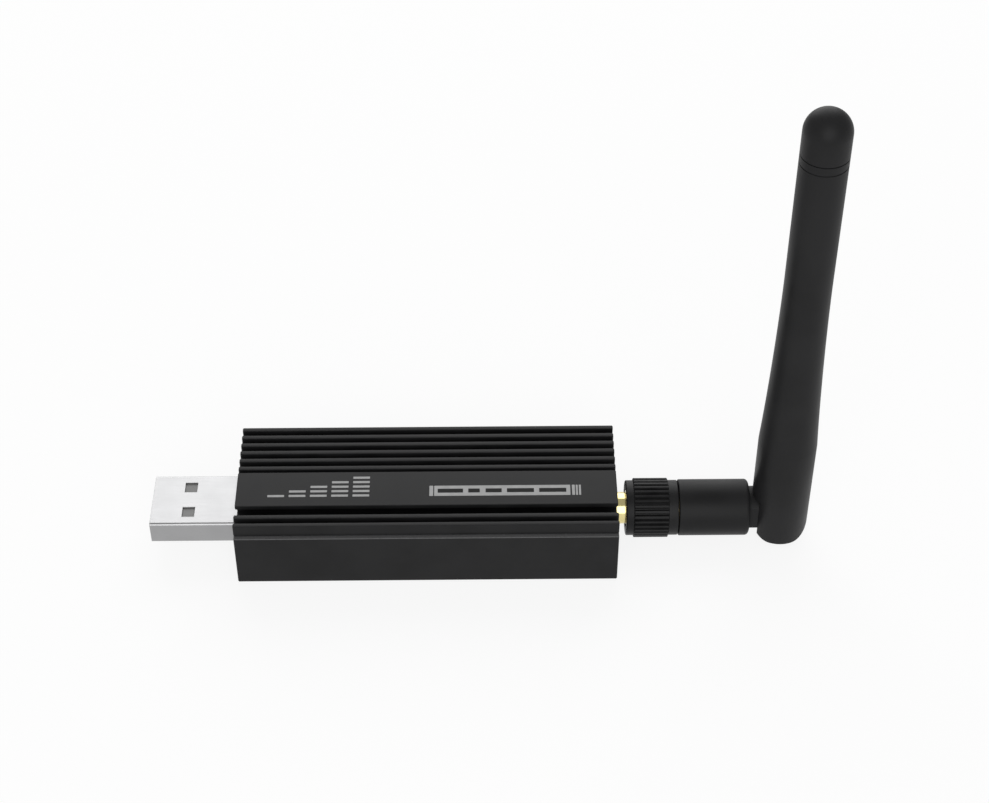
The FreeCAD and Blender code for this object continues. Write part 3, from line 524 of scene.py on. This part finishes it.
metalLooks = {
    "screw_black": {
        "colour": (0.07, 0.07, 0.073), "change": 0.3, "metallic": 0.8, "patch": 0.8,
        "streak": 0.2, "stretch": (0.3, 1, 1), "grain": 0.08,
        "rough": (0.28, 0.4), "depth": 0.008, "bump": 0.25,
    },
    "plug_steel": {
        "colour": (0.37, 0.37, 0.374), "change": 0.06, "metallic": 1, "patch": 4.0,
        "streak": 0.3, "stretch": (0.06, 1, 1), "grain": 0.15,
        "rough": (0.3, 0.37), "depth": 0.003, "bump": 0.07,
    },
    "gold": {
        "colour": (0.8, 0.69, 0.33), "change": 0.06, "metallic": 1, "patch": 1.5,
        "streak": 0.2, "stretch": (1, 0.08, 0.08), "grain": 0.1,
        "rough": (0.12, 0.2), "depth": 0.002, "bump": 0.1,
    },
    "tin_plate": {
        "colour": (0.74, 0.74, 0.73), "change": 0.12, "metallic": 1, "patch": 2.5,
        "streak": 0.3, "stretch": (0.1, 1, 1), "grain": 0.1,
        "rough": (0.34, 0.5), "depth": 0.006, "bump": 0.25,
    },
    "spring_bronze": {
        "colour": (0.62, 0.42, 0.22), "change": 0.2, "metallic": 1, "patch": 1.0,
        "streak": 0.15, "stretch": (1, 0.2, 0.2), "grain": 0.08,
        "rough": (0.28, 0.4), "depth": 0.005, "bump": 0.2,
    },
    "ferrule_brass": {
        "colour": (0.78, 0.62, 0.32), "change": 0.14, "metallic": 1, "patch": 2.0,
        "streak": 0.2, "stretch": (1, 0.1, 0.1), "grain": 0.08,
        "rough": (0.25, 0.38), "depth": 0.005, "bump": 0.2,
    },
    "wire_copper": {
        "colour": (0.72, 0.35, 0.2), "change": 0.2, "metallic": 1, "patch": 1.5,
        "streak": 0.1, "stretch": (1, 1, 0.1), "grain": 0.05,
        "rough": (0.25, 0.4), "depth": 0.004, "bump": 0.2,
    },
}

finishes = {"anodised_black": anodisedFinish(anodisedLook), "board_mask": boardFinish(boardLook)}
for slotName, look in mouldedLooks.items():
    finishes[slotName] = moulded(slotName, look)
for slotName, look in metalLooks.items():
    finishes[slotName] = drawnMetal(slotName, look)

slotOfNode = {
    "housing_extrusion": "anodised_black",
    "usb_end_plate": "plate_black",
    "antenna_end_plate": "plate_black",
    "end_plate_screws": "screw_black",
    "circuit_board": "board_mask",
    "usb_plug_shell": "plug_steel",
    "usb_plug_insulator": "plug_plastic",
    "usb_contacts": "gold",
    "radio_shield_can": "tin_plate",
    "radio_chip": "chip_plastic",
    "radio_crystal": "tin_plate",
    "usb_bridge_chip": "chip_plastic",
    "voltage_regulator": "chip_plastic",
    "power_inductor": "ferrite",
    "chip_capacitors": "ceramic_chip",
    "status_leds": "led_resin",
    "jack_body": "gold",
    "jack_dielectric": "white_insulator",
    "jack_contact": "gold",
    "coupling_nut": "nut_black",
    "nut_retaining_ring": "spring_bronze",
    "connector_ferrule": "ferrule_brass",
    "antenna_pin": "gold",
    "stem_coax": "cable_jacket",
    "whip_coax": "cable_jacket",
    "antenna_barrel": "antenna_plastic",
    "hinge_knuckle": "antenna_plastic",
    "whip_sleeve": "antenna_plastic",
    "tip_cap": "antenna_plastic",
    "radiator_tube": "ferrule_brass",
    "radiator_wire": "wire_copper",
}
for node, slotName in slotOfNode.items():
    nodes[node].data.materials.clear()
    nodes[node].data.materials.append(finishes[slotName])
print("finishes made")


# Housing and the band's print

housingLook = {
    "smoothAngle": 50,
    "plateAngle": 60,
    "plateEdge": 0.08,
    "plateSegments": 2,
}


def buildHousing(look):
    shell = solidCopy("housing_extrusion")
    piece = dress(
        shell, "finnedHousing", "housing", "anodised_black", "housing_extrusion",
        look["smoothAngle"],
    )
    weightNormals(piece)
    for node, name in (("usb_end_plate", "plugEndPlate"), ("antenna_end_plate", "jackEndPlate")):
        plate = solidCopy(node)
        edges = sharpEdges(plate, look["plateAngle"])
        bevelEdges(plate, edges, look["plateEdge"], look["plateSegments"])
        dress(plate, name, "housing", "plate_black", node)


buildHousing(housingLook)

printLook = {
    "thickness": 0.02,
    "sink": 0.01,
    "cornerRounding": 0.08,
    "cornerSegments": 3,
    "levelLeft": -27.55,
    "levelLow": -5.15,
    "levelPitch": 3.68,
    "levelWidth": 2.9,
    "levelDashes": (1, 2, 3, 4, 5),
    "dashHeight": 0.5,
    "dashPitch": 1.08,
    "barLeft": 1.3,
    "barRight": 24.9,
    "barLow": -5.15,
    "barHigh": -2.7,
    "thinBars": ((0.46, 1.12), (25.2, 25.7), (25.87, 26.2), (26.4, 26.75)),
    "inlayMiddle": -3.92,
    "inlayHeight": 0.95,
    "inlayRuns": ((1.9, 6.3), (7.2, 9.2), (10.2, 13.0), (13.9, 18.6), (19.5, 24.2)),
    "pale": {
        "colour": (0.3, 0.3, 0.3), "change": 0.08, "patch": 1.2, "grain": 0.1,
        "rough": (0.5, 0.62), "specular": 0.35, "depth": 0.006, "bump": 0.25,
    },
    "dark": {
        "colour": (0.012, 0.012, 0.012), "change": 0.15, "patch": 1.0, "grain": 0.1,
        "rough": (0.5, 0.62), "specular": 0.1, "depth": 0.006, "bump": 0.25,
    },
}


# a thin bar on the band, raised by lift, with its corners rounded
def printedBar(look, left, low, right, high, lift=0):
    thickness = look["thickness"]
    bottom = bandTop - look["sink"] + lift
    bar = block((left, low, bottom), (right, high, bandTop + thickness + lift))
    upright = [
        edge for edge in bar.edges
        if abs(edge.verts[0].co.z - edge.verts[1].co.z) > thickness / 2
    ]
    rounding = min(look["cornerRounding"], (right - left) / 3)
    bevelEdges(bar, upright, rounding, look["cornerSegments"])
    return bar


# a row of rising levels, and a bar with dark runs between thin lines
def buildPrint(look):
    pale = bmesh.new()
    for column, dashes in enumerate(look["levelDashes"]):
        left = look["levelLeft"] + column * look["levelPitch"]
        for dash in range(dashes):
            low = look["levelLow"] + dash * look["dashPitch"]
            right, high = left + look["levelWidth"], low + look["dashHeight"]
            join(pale, printedBar(look, left, low, right, high))
    for left, right in (*look["thinBars"], (look["barLeft"], look["barRight"])):
        join(pale, printedBar(look, left, look["barLow"], right, look["barHigh"]))
    dark = bmesh.new()
    middle, half = look["inlayMiddle"], look["inlayHeight"] / 2
    for left, right in look["inlayRuns"]:
        run = printedBar(look, left, middle - half, right, middle + half, look["thickness"] / 2)
        join(dark, run)
    for mesh, name, ink in ((pale, "palePrint", "pale"), (dark, "darkPrint", "dark")):
        makePiece(mesh, name, "housing", moulded(name, look[ink]), meshLook["smoothAngle"])


buildPrint(printLook)
print("housing dressed")


# Plug

plugLook = {
    "sharpAngle": 60,
    "smoothAngle": 40,
    "edge": 0.06,
    "segments": 2,
    "seamWidth": 0.08,
    "seamDepth": 0.05,
}


def buildPlug(look):
    shell = solidCopy("usb_plug_shell")
    bevelEdges(shell, sharpEdges(shell, look["sharpAngle"]), look["edge"], look["segments"])
    # the folded sheet meets along the underside
    low, high = (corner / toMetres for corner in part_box("usb_plug_shell"))
    middle, half = (low.y + high.y) / 2, look["seamWidth"] / 2
    seam = block(
        (low.x - overreach, middle - half, low.z - overreach),
        (high.x + overreach, middle + half, low.z + look["seamDepth"]),
    )
    shell = combine(shell, seam, "DIFFERENCE")
    piece = dress(
        shell, "plugShell", "housing", "plug_steel", "usb_plug_shell", look["smoothAngle"],
    )
    weightNormals(piece)


buildPlug(plugLook)
print("plug dressed")


# Jack: the solid's inner part with a relieved, threaded nose

jackLook = {
    "steps": 96,
    "cut": -0.2,
    "overlap": 0.01,
    "bore": 2.35,
    "boreBreak": 0.1,
    "collarEnd": -0.12,
    "collarBreak": 0.03,
    "reliefStart": -0.05,
    "reliefEnd": 1.8,
    "relief": 2.8,
    "rootStart": 1.85,
    "root": 2.72,
    "reach": 5.6,
    "mouthBreak": 0.15,
    "threadStart": 1.9,
    "threadStop": 5.3,
    "crest": 3.17,
    "pitch": 0.7056,
    "ridgeBase": 0.46,
    "ridgeTop": 0.07,
    "ridgeSink": 0.05,
}


# keeps the mesh's part behind a plane across X, and returns the cut's edges
def cutAcross(mesh, place, outward):
    cut = bmesh.ops.bisect_plane(
        mesh,
        geom=mesh.verts[:] + mesh.edges[:] + mesh.faces[:],
        plane_co=(place, 0, 0),
        plane_no=(outward, 0, 0),
        clear_outer=True,
    )
    return [item for item in cut["geom_cut"] if isinstance(item, bmesh.types.BMEdge)]


# one ridge section, swept along the helix and cut square at both ends
def threadRidge(look):
    pitch, crest = look["pitch"], look["crest"]
    base, top = pitch * look["ridgeBase"], pitch * look["ridgeTop"]
    foot = look["root"] - look["ridgeSink"]
    start = look["threadStart"] - pitch
    section = ((-base, foot), (-top, crest), (top, crest), (base, foot))
    mesh = bmesh.new()
    verts = [mesh.verts.new((start + along, 0, radius)) for along, radius in section]
    face = mesh.faces.new(verts)
    turns = (look["reach"] - look["threadStart"]) / pitch + 2  # one to spare at each end
    steps = round(turns * look["steps"])
    bmesh.ops.spin(
        mesh,
        geom=[*verts, *face.edges, face],
        cent=(0, 0, 0),
        axis=(1, 0, 0),
        dvec=(pitch / look["steps"], 0, 0),
        steps=steps,
        angle=math.tau * steps / look["steps"],
        use_merge=False,
    )
    for place, outward in ((look["threadStart"], -1), (look["threadStop"], 1)):
        bmesh.ops.holes_fill(mesh, edges=cutAcross(mesh, place, outward), sides=0)
    bmesh.ops.recalc_face_normals(mesh, faces=mesh.faces)
    return mesh


def buildJack(look):
    bore, crest, root, reach = look["bore"], look["crest"], look["root"], look["reach"]
    jack = solidCopy("jack_body")
    bmesh.ops.translate(jack, vec=-antennaStart, verts=jack.verts)
    bmesh.ops.bridge_loops(jack, edges=cutAcross(jack, look["cut"], 1))
    nose = turned([
        (look["cut"] - look["overlap"], bore, 0),
        (look["cut"] - look["overlap"], crest, 0),
        (look["collarEnd"], crest, look["collarBreak"]),
        (look["reliefStart"], look["relief"], 0),
        (look["reliefEnd"], look["relief"], 0),
        (look["rootStart"], root, 0),
        (reach - look["mouthBreak"], root, 0),
        (reach, root - look["mouthBreak"], 0),
        (reach, bore + look["boreBreak"], 0),
        (reach - look["boreBreak"], bore, 0),
    ], look["steps"])
    join(jack, nose)
    join(jack, threadRidge(look))
    bmesh.ops.translate(jack, vec=antennaStart, verts=jack.verts)
    dress(jack, "threadedJack", "housing", "gold", "jack_body")


buildJack(jackLook)
print("jack dressed")


# End plate screws with cross recesses

screwLook = {
    "steps": 48,
    "face": 32.9,
    "side": 9.35,
    "level": 7.2,
    "head": 1.6,
    "headBreak": 0.04,
    "shank": 1.0,
    "cone": 0.6,
    "length": 6.0,
    "endBreak": 0.3,
    "crossWidth": 0.42,
    "crossReach": 1.9,
    "crossDepth": 0.6,
    "crossTaper": 0.5,
}


def buildScrews(look):
    shank, length = look["shank"], look["length"]
    narrow, long = look["crossWidth"] / 2, look["crossReach"] / 2
    taper = (1, look["crossTaper"], look["crossTaper"])
    pair = bmesh.new()
    for side in (-1, 1):
        screw = turned([
            (0, 0, 0),
            (0, look["head"], look["headBreak"]),
            (-look["cone"], shank, 0),
            (look["endBreak"] - length, shank, 0),
            (-length, shank - look["endBreak"], 0),
            (-length, 0, 0),
        ], look["steps"], False)
        for across, upward in ((narrow, long), (long, narrow)):
            wing = block((-look["crossDepth"], -across, -upward), (overreach, across, upward))
            bottom = [vert for vert in wing.verts if vert.co.x < 0]
            bmesh.ops.scale(wing, vec=taper, verts=bottom)
            screw = combine(screw, wing, "DIFFERENCE")
        place = Vector((look["face"], side * look["side"], look["level"]))
        bmesh.ops.translate(screw, vec=place, verts=screw.verts)
        join(pair, screw)
    dress(pair, "crossScrews", "housing", "screw_black", "end_plate_screws")


buildScrews(screwLook)
print("screws dressed")


# Knurled nut

nutLook = {
    "ribs": 34,
    "start": 1.85,
    "end": 11.0,
    "bore": 3.245,
    "mouthRise": 0.2,
    "mouthDepth": 0.3,
    "collar": 4.86,
    "ribStart": 3.15,
    "ribEnd": 9.33,
    "ribSlope": 0.13,
    "ribHeight": 0.37,
    "ribBase": 0.74,
    "ribCrest": 0.36,
    "gapDepth": 0.14,
    "edge": 0.2,
    "smoothAngle": 30,
    "slack": 0.01,
}


# a turned nut, whose outer points are then gathered into ribs
def buildNut(look):
    pitch = math.tau / look["ribs"]
    start, end, collar, bore = look["start"], look["end"], look["collar"], look["bore"]
    ribStart, ribEnd, slack = look["ribStart"], look["ribEnd"], look["slack"]
    nut = turned([
        (start, bore + look["mouthRise"], 0),
        (start, collar, look["edge"]),
        (ribStart, collar, 0),
        (ribStart + look["ribSlope"], collar, 0),
        (ribEnd - look["ribSlope"], collar, 0),
        (ribEnd, collar, 0),
        (end, collar, look["edge"]),
        (end, bore + look["mouthRise"], 0),
        (end - look["mouthDepth"], bore, 0),
        (start + look["mouthDepth"], bore, 0),
    ], look["ribs"] * 4)
    crest = collar + look["ribHeight"]
    halfBase = look["ribBase"] / (pitch * collar) / 2
    halfCrest = look["ribCrest"] / (pitch * crest) / 2
    # four lines of points a pitch: one crest edge, the gap's two edges, the next crest edge
    wanted = (halfCrest, halfBase, 1 - halfBase, 1 - halfCrest)
    bmesh.ops.rotate(
        nut, verts=nut.verts, cent=(0, 0, 0), matrix=Matrix.Rotation(pitch / 8, 3, "X")
    )
    groups = ([], [], [], [])
    for vert in nut.verts:
        outside = math.hypot(vert.co.y, vert.co.z) > collar - slack
        if outside and ribStart + slack < vert.co.x < ribEnd - slack:
            phase = math.atan2(-vert.co.y, vert.co.z) / pitch * 4
            groups[math.floor(phase) % 4].append(vert)
    for index, group in enumerate(groups):
        turn = (wanted[index] - (index + 0.5) / 4) * pitch
        bmesh.ops.rotate(
            nut, verts=group, cent=(0, 0, 0), matrix=Matrix.Rotation(turn, 3, "X")
        )
        grow = (crest if index in (0, 3) else collar - look["gapDepth"]) / collar
        bmesh.ops.scale(nut, vec=(1, grow, grow), verts=group)
    bmesh.ops.translate(nut, vec=antennaStart, verts=nut.verts)
    dress(nut, "knurledNut", "nut", "nut_black", "coupling_nut", look["smoothAngle"])


buildNut(nutLook)
print("nut dressed")


# Antenna barrel and hinge knuckle

barrelLook = {
    "steps": 144,
    "start": 11.15,
    "end": 23.5,
    "step": 17.45,
    "narrow": 3.205,
    "wide": 3.735,
    "radius": 4.97,
    "entryBreak": 0.2,
    "shoulder": 0.65,
}


def buildBarrel(look):
    barrel = turned([
        (look["start"], look["narrow"], 0),
        (look["start"], look["radius"], look["entryBreak"]),
        (look["end"], look["radius"], look["shoulder"]),
        (look["end"], look["wide"], 0),
        (look["step"], look["wide"], 0),
        (look["step"], look["narrow"], 0),
    ], look["steps"])
    bmesh.ops.translate(barrel, vec=antennaStart, verts=barrel.verts)
    dress(barrel, "roundedBarrel", "stem", "antenna_plastic", "antenna_barrel")


buildBarrel(barrelLook)

knuckleLook = {
    "steps": 128,
    "root": -11.65,
    "bore": 1.0,
    "radius": 3.715,
    "endSegments": 32,
    "flatStart": -5.85,
    "halfWidth": 2.9,
    "trunnion": 1.5,
    "trunnionReach": 3.9,
    "edge": 0.12,
    "edgeSegments": 3,
    "sharpAngle": 28,
    "slack": 0.01,
    "nearFlat": 0.05,
    "clear": 9,
}


# measured from the hinge
def buildKnuckle(look):
    root, radius, bore = look["root"], look["radius"], look["bore"]
    flatStart, halfWidth = look["flatStart"], look["halfWidth"]
    clear, slack = look["clear"], look["slack"]
    neck = turned([
        (-radius, 0, 0),
        (-radius, bore, 0),
        (root, bore, 0),
        (root, radius, 0),
        (radius + overreach, radius, 0),
        (radius + overreach, 0, 0),
    ], look["steps"], False)
    # this block rounds the end about the hinge, and clears the neck above and below
    ending = roundedBlock(
        (root - overreach, -clear, -radius - slack), (radius, clear, radius + slack), radius,
        lambda middle: middle.x > 0, look["endSegments"],
    )
    neck = combine(neck, ending, "INTERSECT")
    for low, high in ((-clear, -halfWidth), (halfWidth, clear)):
        flat = block((flatStart, low, -clear), (clear, high, clear))
        neck = combine(neck, flat, "DIFFERENCE")
    chosen = []
    for edge in sharpEdges(neck, look["sharpAngle"]):
        first, second = (vert.co for vert in edge.verts)
        onFlat = abs(abs(first.y + second.y) / 2 - halfWidth) < look["nearFlat"]
        if onFlat and max(first.x, second.x) > flatStart + slack:
            chosen.append(edge)
    bevelEdges(neck, chosen, look["edge"], look["edgeSegments"])
    join(neck, crossRod(look["trunnionReach"], look["trunnion"]))
    bmesh.ops.translate(neck, vec=hingeCentre, verts=neck.verts)
    dress(neck, "hingeTongue", "stem", "antenna_plastic", "hinge_knuckle", look["sharpAngle"])


buildKnuckle(knuckleLook)
print("barrel and hinge dressed")


# Whip sleeve and tip

whipLook = {
    "steps": 144,
    "foot": 4.4,
    "footRounding": 3.1,
    "base": 5.05,
    "baseTop": 16.3,
    "taperTop": 53.25,
    "radius": 3.91,
    "seam": 77.3,
    "seamWidth": 0.2,
    "seamDepth": 0.15,
    "bore": 2.71,
    "boreStart": 6.6,
    "grooveDrop": 1.45,
    "grooveWidth": 0.25,
    "grooveDepth": 0.12,
    "grooveSlope": 0.05,
    "slotHalf": 3.0,
    "swing": 3.9,
    "arcSegments": 24,
    "pinHole": 1.55,
    "pinReach": 4.0,
    "edge": 0.12,
    "edgeSegments": 3,
    "footTop": 6.1,
    "sharpAngle": 35,
    "smoothAngle": 28,
    "tip": 85.31,
    "plug": 2.68,
    "plugLength": 4.0,
    "plugBreak": 0.2,
    "slack": 0.01,
    "trimSlack": 0.001,
    "pinClear": 0.1,
    "clear": 9,
    "clearAbove": 99,
    "slotClear": 20,
}


# a mesh made along X is turned to stand along Z
def standing(mesh):
    bmesh.ops.rotate(
        mesh, cent=(0, 0, 0), matrix=Matrix.Rotation(-math.pi / 2, 3, "Y"), verts=mesh.verts
    )
    return mesh


def buildSleeve(look):
    foot, base, baseTop = look["foot"], look["base"], look["baseTop"]
    radius, seam, bore = look["radius"], look["seam"], look["bore"]
    halfTaper = (look["taperTop"] - baseTop) / 2
    grooveTop = seam - look["grooveDrop"] + look["grooveWidth"] / 2
    grooveLow = grooveTop - look["grooveWidth"]
    grooveRadius, slope = radius - look["grooveDepth"], look["grooveSlope"]
    slack, clear, slotClear = look["slack"], look["clear"], look["slotClear"]
    sleeve = standing(turned([
        (-foot - overreach, 0, 0),
        (-foot - overreach, base, 0),
        (baseTop, base, 0),
        (baseTop + halfTaper, radius, halfTaper - slack * 2),
        (grooveLow, radius, 0),
        (grooveLow + slope, grooveRadius, 0),
        (grooveTop - slope, grooveRadius, 0),
        (grooveTop, radius, 0),
        (seam, radius, 0),
        (seam, bore, 0),
        (look["boreStart"], bore, 0),
        (look["boreStart"], 0, 0),
    ], look["steps"], False))
    # this block rounds the foot and keeps all above it
    half = base + look["trimSlack"]
    rounded = roundedBlock(
        (-half, -clear, -foot), (half, clear, look["clearAbove"]), look["footRounding"],
        lambda middle: middle.z < 0, look["arcSegments"],
    )
    sleeve = combine(sleeve, rounded, "INTERSECT")
    # the neck leaves the slot towards the stick when upright, and below when folded out
    swing, half = look["swing"], look["slotHalf"]
    slot = roundedBlock(
        (-slotClear, -half, -slotClear), (swing, half, swing), swing - slack,
        lambda middle: middle.x > 0 and middle.z > 0, look["arcSegments"],
    )
    sleeve = combine(sleeve, slot, "DIFFERENCE")
    sleeve = combine(sleeve, crossRod(look["pinReach"], look["pinHole"]), "DIFFERENCE")
    chosen = [
        edge for edge in sharpEdges(sleeve, look["sharpAngle"])
        if all(
            vert.co.z < look["footTop"]
            and math.hypot(vert.co.x, vert.co.z) > look["pinHole"] + look["pinClear"]
            for vert in edge.verts
        )
    ]
    bevelEdges(sleeve, chosen, look["edge"], look["edgeSegments"])
    bmesh.ops.translate(sleeve, vec=hingeCentre, verts=sleeve.verts)
    dress(sleeve, "whipSleeve", "whip", "antenna_plastic", "whip_sleeve", look["smoothAngle"])


def buildTip(look):
    radius, seam = look["radius"], look["seam"]
    plugEnd, seamTop = seam - look["plugLength"], seam + look["seamWidth"]
    recess = radius - look["seamDepth"]
    cap = standing(turned([
        (plugEnd, 0, 0),
        (plugEnd, look["plug"], look["plugBreak"]),
        (seam, look["plug"], 0),
        (seam, recess, 0),
        (seamTop, recess, 0),
        (seamTop, radius, 0),
        (look["tip"], radius, radius - look["slack"]),
        (look["tip"], 0, 0),
    ], look["steps"], False))
    bmesh.ops.translate(cap, vec=hingeCentre, verts=cap.verts)
    dress(cap, "domedTip", "whip", "antenna_plastic", "tip_cap")


buildSleeve(whipLook)
buildTip(whipLook)
print("whip dressed")


# Floor, lights and camera

stageLook = {
    "floorSize": 5,
    "floorColour": (0.88, 0.88, 0.88),
    "floorRough": 0.9,
    "floorSpecular": 0.1,
    "shadowFill": 0.86,
    "ambient": 0.45,
    "lamps": (
        {"name": "backLamp", "place": (0, 0.85, 0.55), "size": 1.2, "power": 7.8},
        {"name": "frontLamp", "place": (0, -0.8, 0.46), "size": 0.95, "power": 5.2},
    ),
    "cameraPlace": (0.009496, -0.262848, 0.277852),
    "cameraTilt": 0.75408,
    "cameraTurn": 0.00879,
    "cameraRoll": -0.00142,
    "focalPixels": 2132.563,
    "frameWidth": 989,
    "sensorWidth": 36,
    "nearest": 0.01,
    "farthest": 10,
}


def makeFloor(look):
    mesh = bmesh.new()
    bmesh.ops.create_grid(mesh, x_segments=1, y_segments=1, size=look["floorSize"] / 2)
    floor = asObject(mesh, "floor")
    paper = bpy.data.materials.new("paperFloor")
    paper.use_nodes = True
    shader = paper.node_tree.nodes["Principled BSDF"]
    shader.inputs["Base Color"].default_value = (*look["floorColour"], 1)
    shader.inputs["Roughness"].default_value = look["floorRough"]
    shader.inputs["Specular IOR Level"].default_value = look["floorSpecular"]
    # part of the paper's white is its own where it is seen, so the shadow stays faint
    tree = paper.node_tree
    path = tree.nodes.new("ShaderNodeLightPath")
    seen = path.outputs["Is Camera Ray"]
    for other in ("Is Glossy Ray", "Is Transmission Ray"):
        either = tree.nodes.new("ShaderNodeMath")
        either.operation = "MAXIMUM"
        tree.links.new(seen, either.inputs[0])
        tree.links.new(path.outputs[other], either.inputs[1])
        seen = either.outputs["Value"]
    share = tree.nodes.new("ShaderNodeMapRange")
    share.inputs["To Max"].default_value = look["shadowFill"]
    tree.links.new(seen, share.inputs["Value"])
    white = tree.nodes.new("ShaderNodeEmission")
    white.inputs["Strength"].default_value = 1
    both = tree.nodes.new("ShaderNodeMixShader")
    tree.links.new(share.outputs["Result"], both.inputs["Fac"])
    tree.links.new(shader.outputs["BSDF"], both.inputs[1])
    tree.links.new(white.outputs["Emission"], both.inputs[2])
    tree.links.new(both.outputs["Shader"], tree.nodes["Material Output"].inputs["Surface"])
    floor.data.materials.append(paper)


def makeSurroundings(look):
    world = bpy.data.worlds.new("studio")
    bpy.context.scene.world = world
    world.use_nodes = True
    backdrop = world.node_tree.nodes["Background"]
    backdrop.inputs["Color"].default_value = (1, 1, 1, 1)
    backdrop.inputs["Strength"].default_value = look["ambient"]


def makeLamps(look):
    for lamp in look["lamps"]:
        light = bpy.data.lights.new(lamp["name"], "AREA")
        light.shape = "DISK"
        light.size = lamp["size"]
        light.energy = lamp["power"]
        holder = bpy.data.objects.new(lamp["name"], light)
        collection.objects.link(holder)
        holder.location = lamp["place"]
        holder.rotation_euler = Vector(lamp["place"]).to_track_quat("Z", "Y").to_euler()
        holder.visible_camera = False


def makeCamera(look):
    tilt, turn, roll = look["cameraTilt"], look["cameraTurn"], look["cameraRoll"]
    forward = Vector((
        math.sin(turn) * math.cos(tilt), math.cos(turn) * math.cos(tilt), -math.sin(tilt)
    ))
    right = Vector((math.cos(turn), -math.sin(turn), 0))
    down = forward.cross(right)
    rolledRight = right * math.cos(roll) - down * math.sin(roll)
    rolledDown = right * math.sin(roll) + down * math.cos(roll)
    camera = bpy.data.cameras.new("photoCamera")
    camera.sensor_width = look["sensorWidth"]
    camera.lens = look["focalPixels"] * look["sensorWidth"] / look["frameWidth"]
    camera.clip_start = look["nearest"]
    camera.clip_end = look["farthest"]
    holder = bpy.data.objects.new("photoCamera", camera)
    collection.objects.link(holder)
    axes = Matrix((rolledRight, -rolledDown, -forward)).transposed()
    holder.matrix_world = Matrix.Translation(look["cameraPlace"]) @ axes.to_4x4()
    bpy.context.scene.camera = holder


makeFloor(stageLook)
makeSurroundings(stageLook)
makeLamps(stageLook)
makeCamera(stageLook)
bpy.context.scene.view_settings.view_transform = "Standard"
print("stage set")
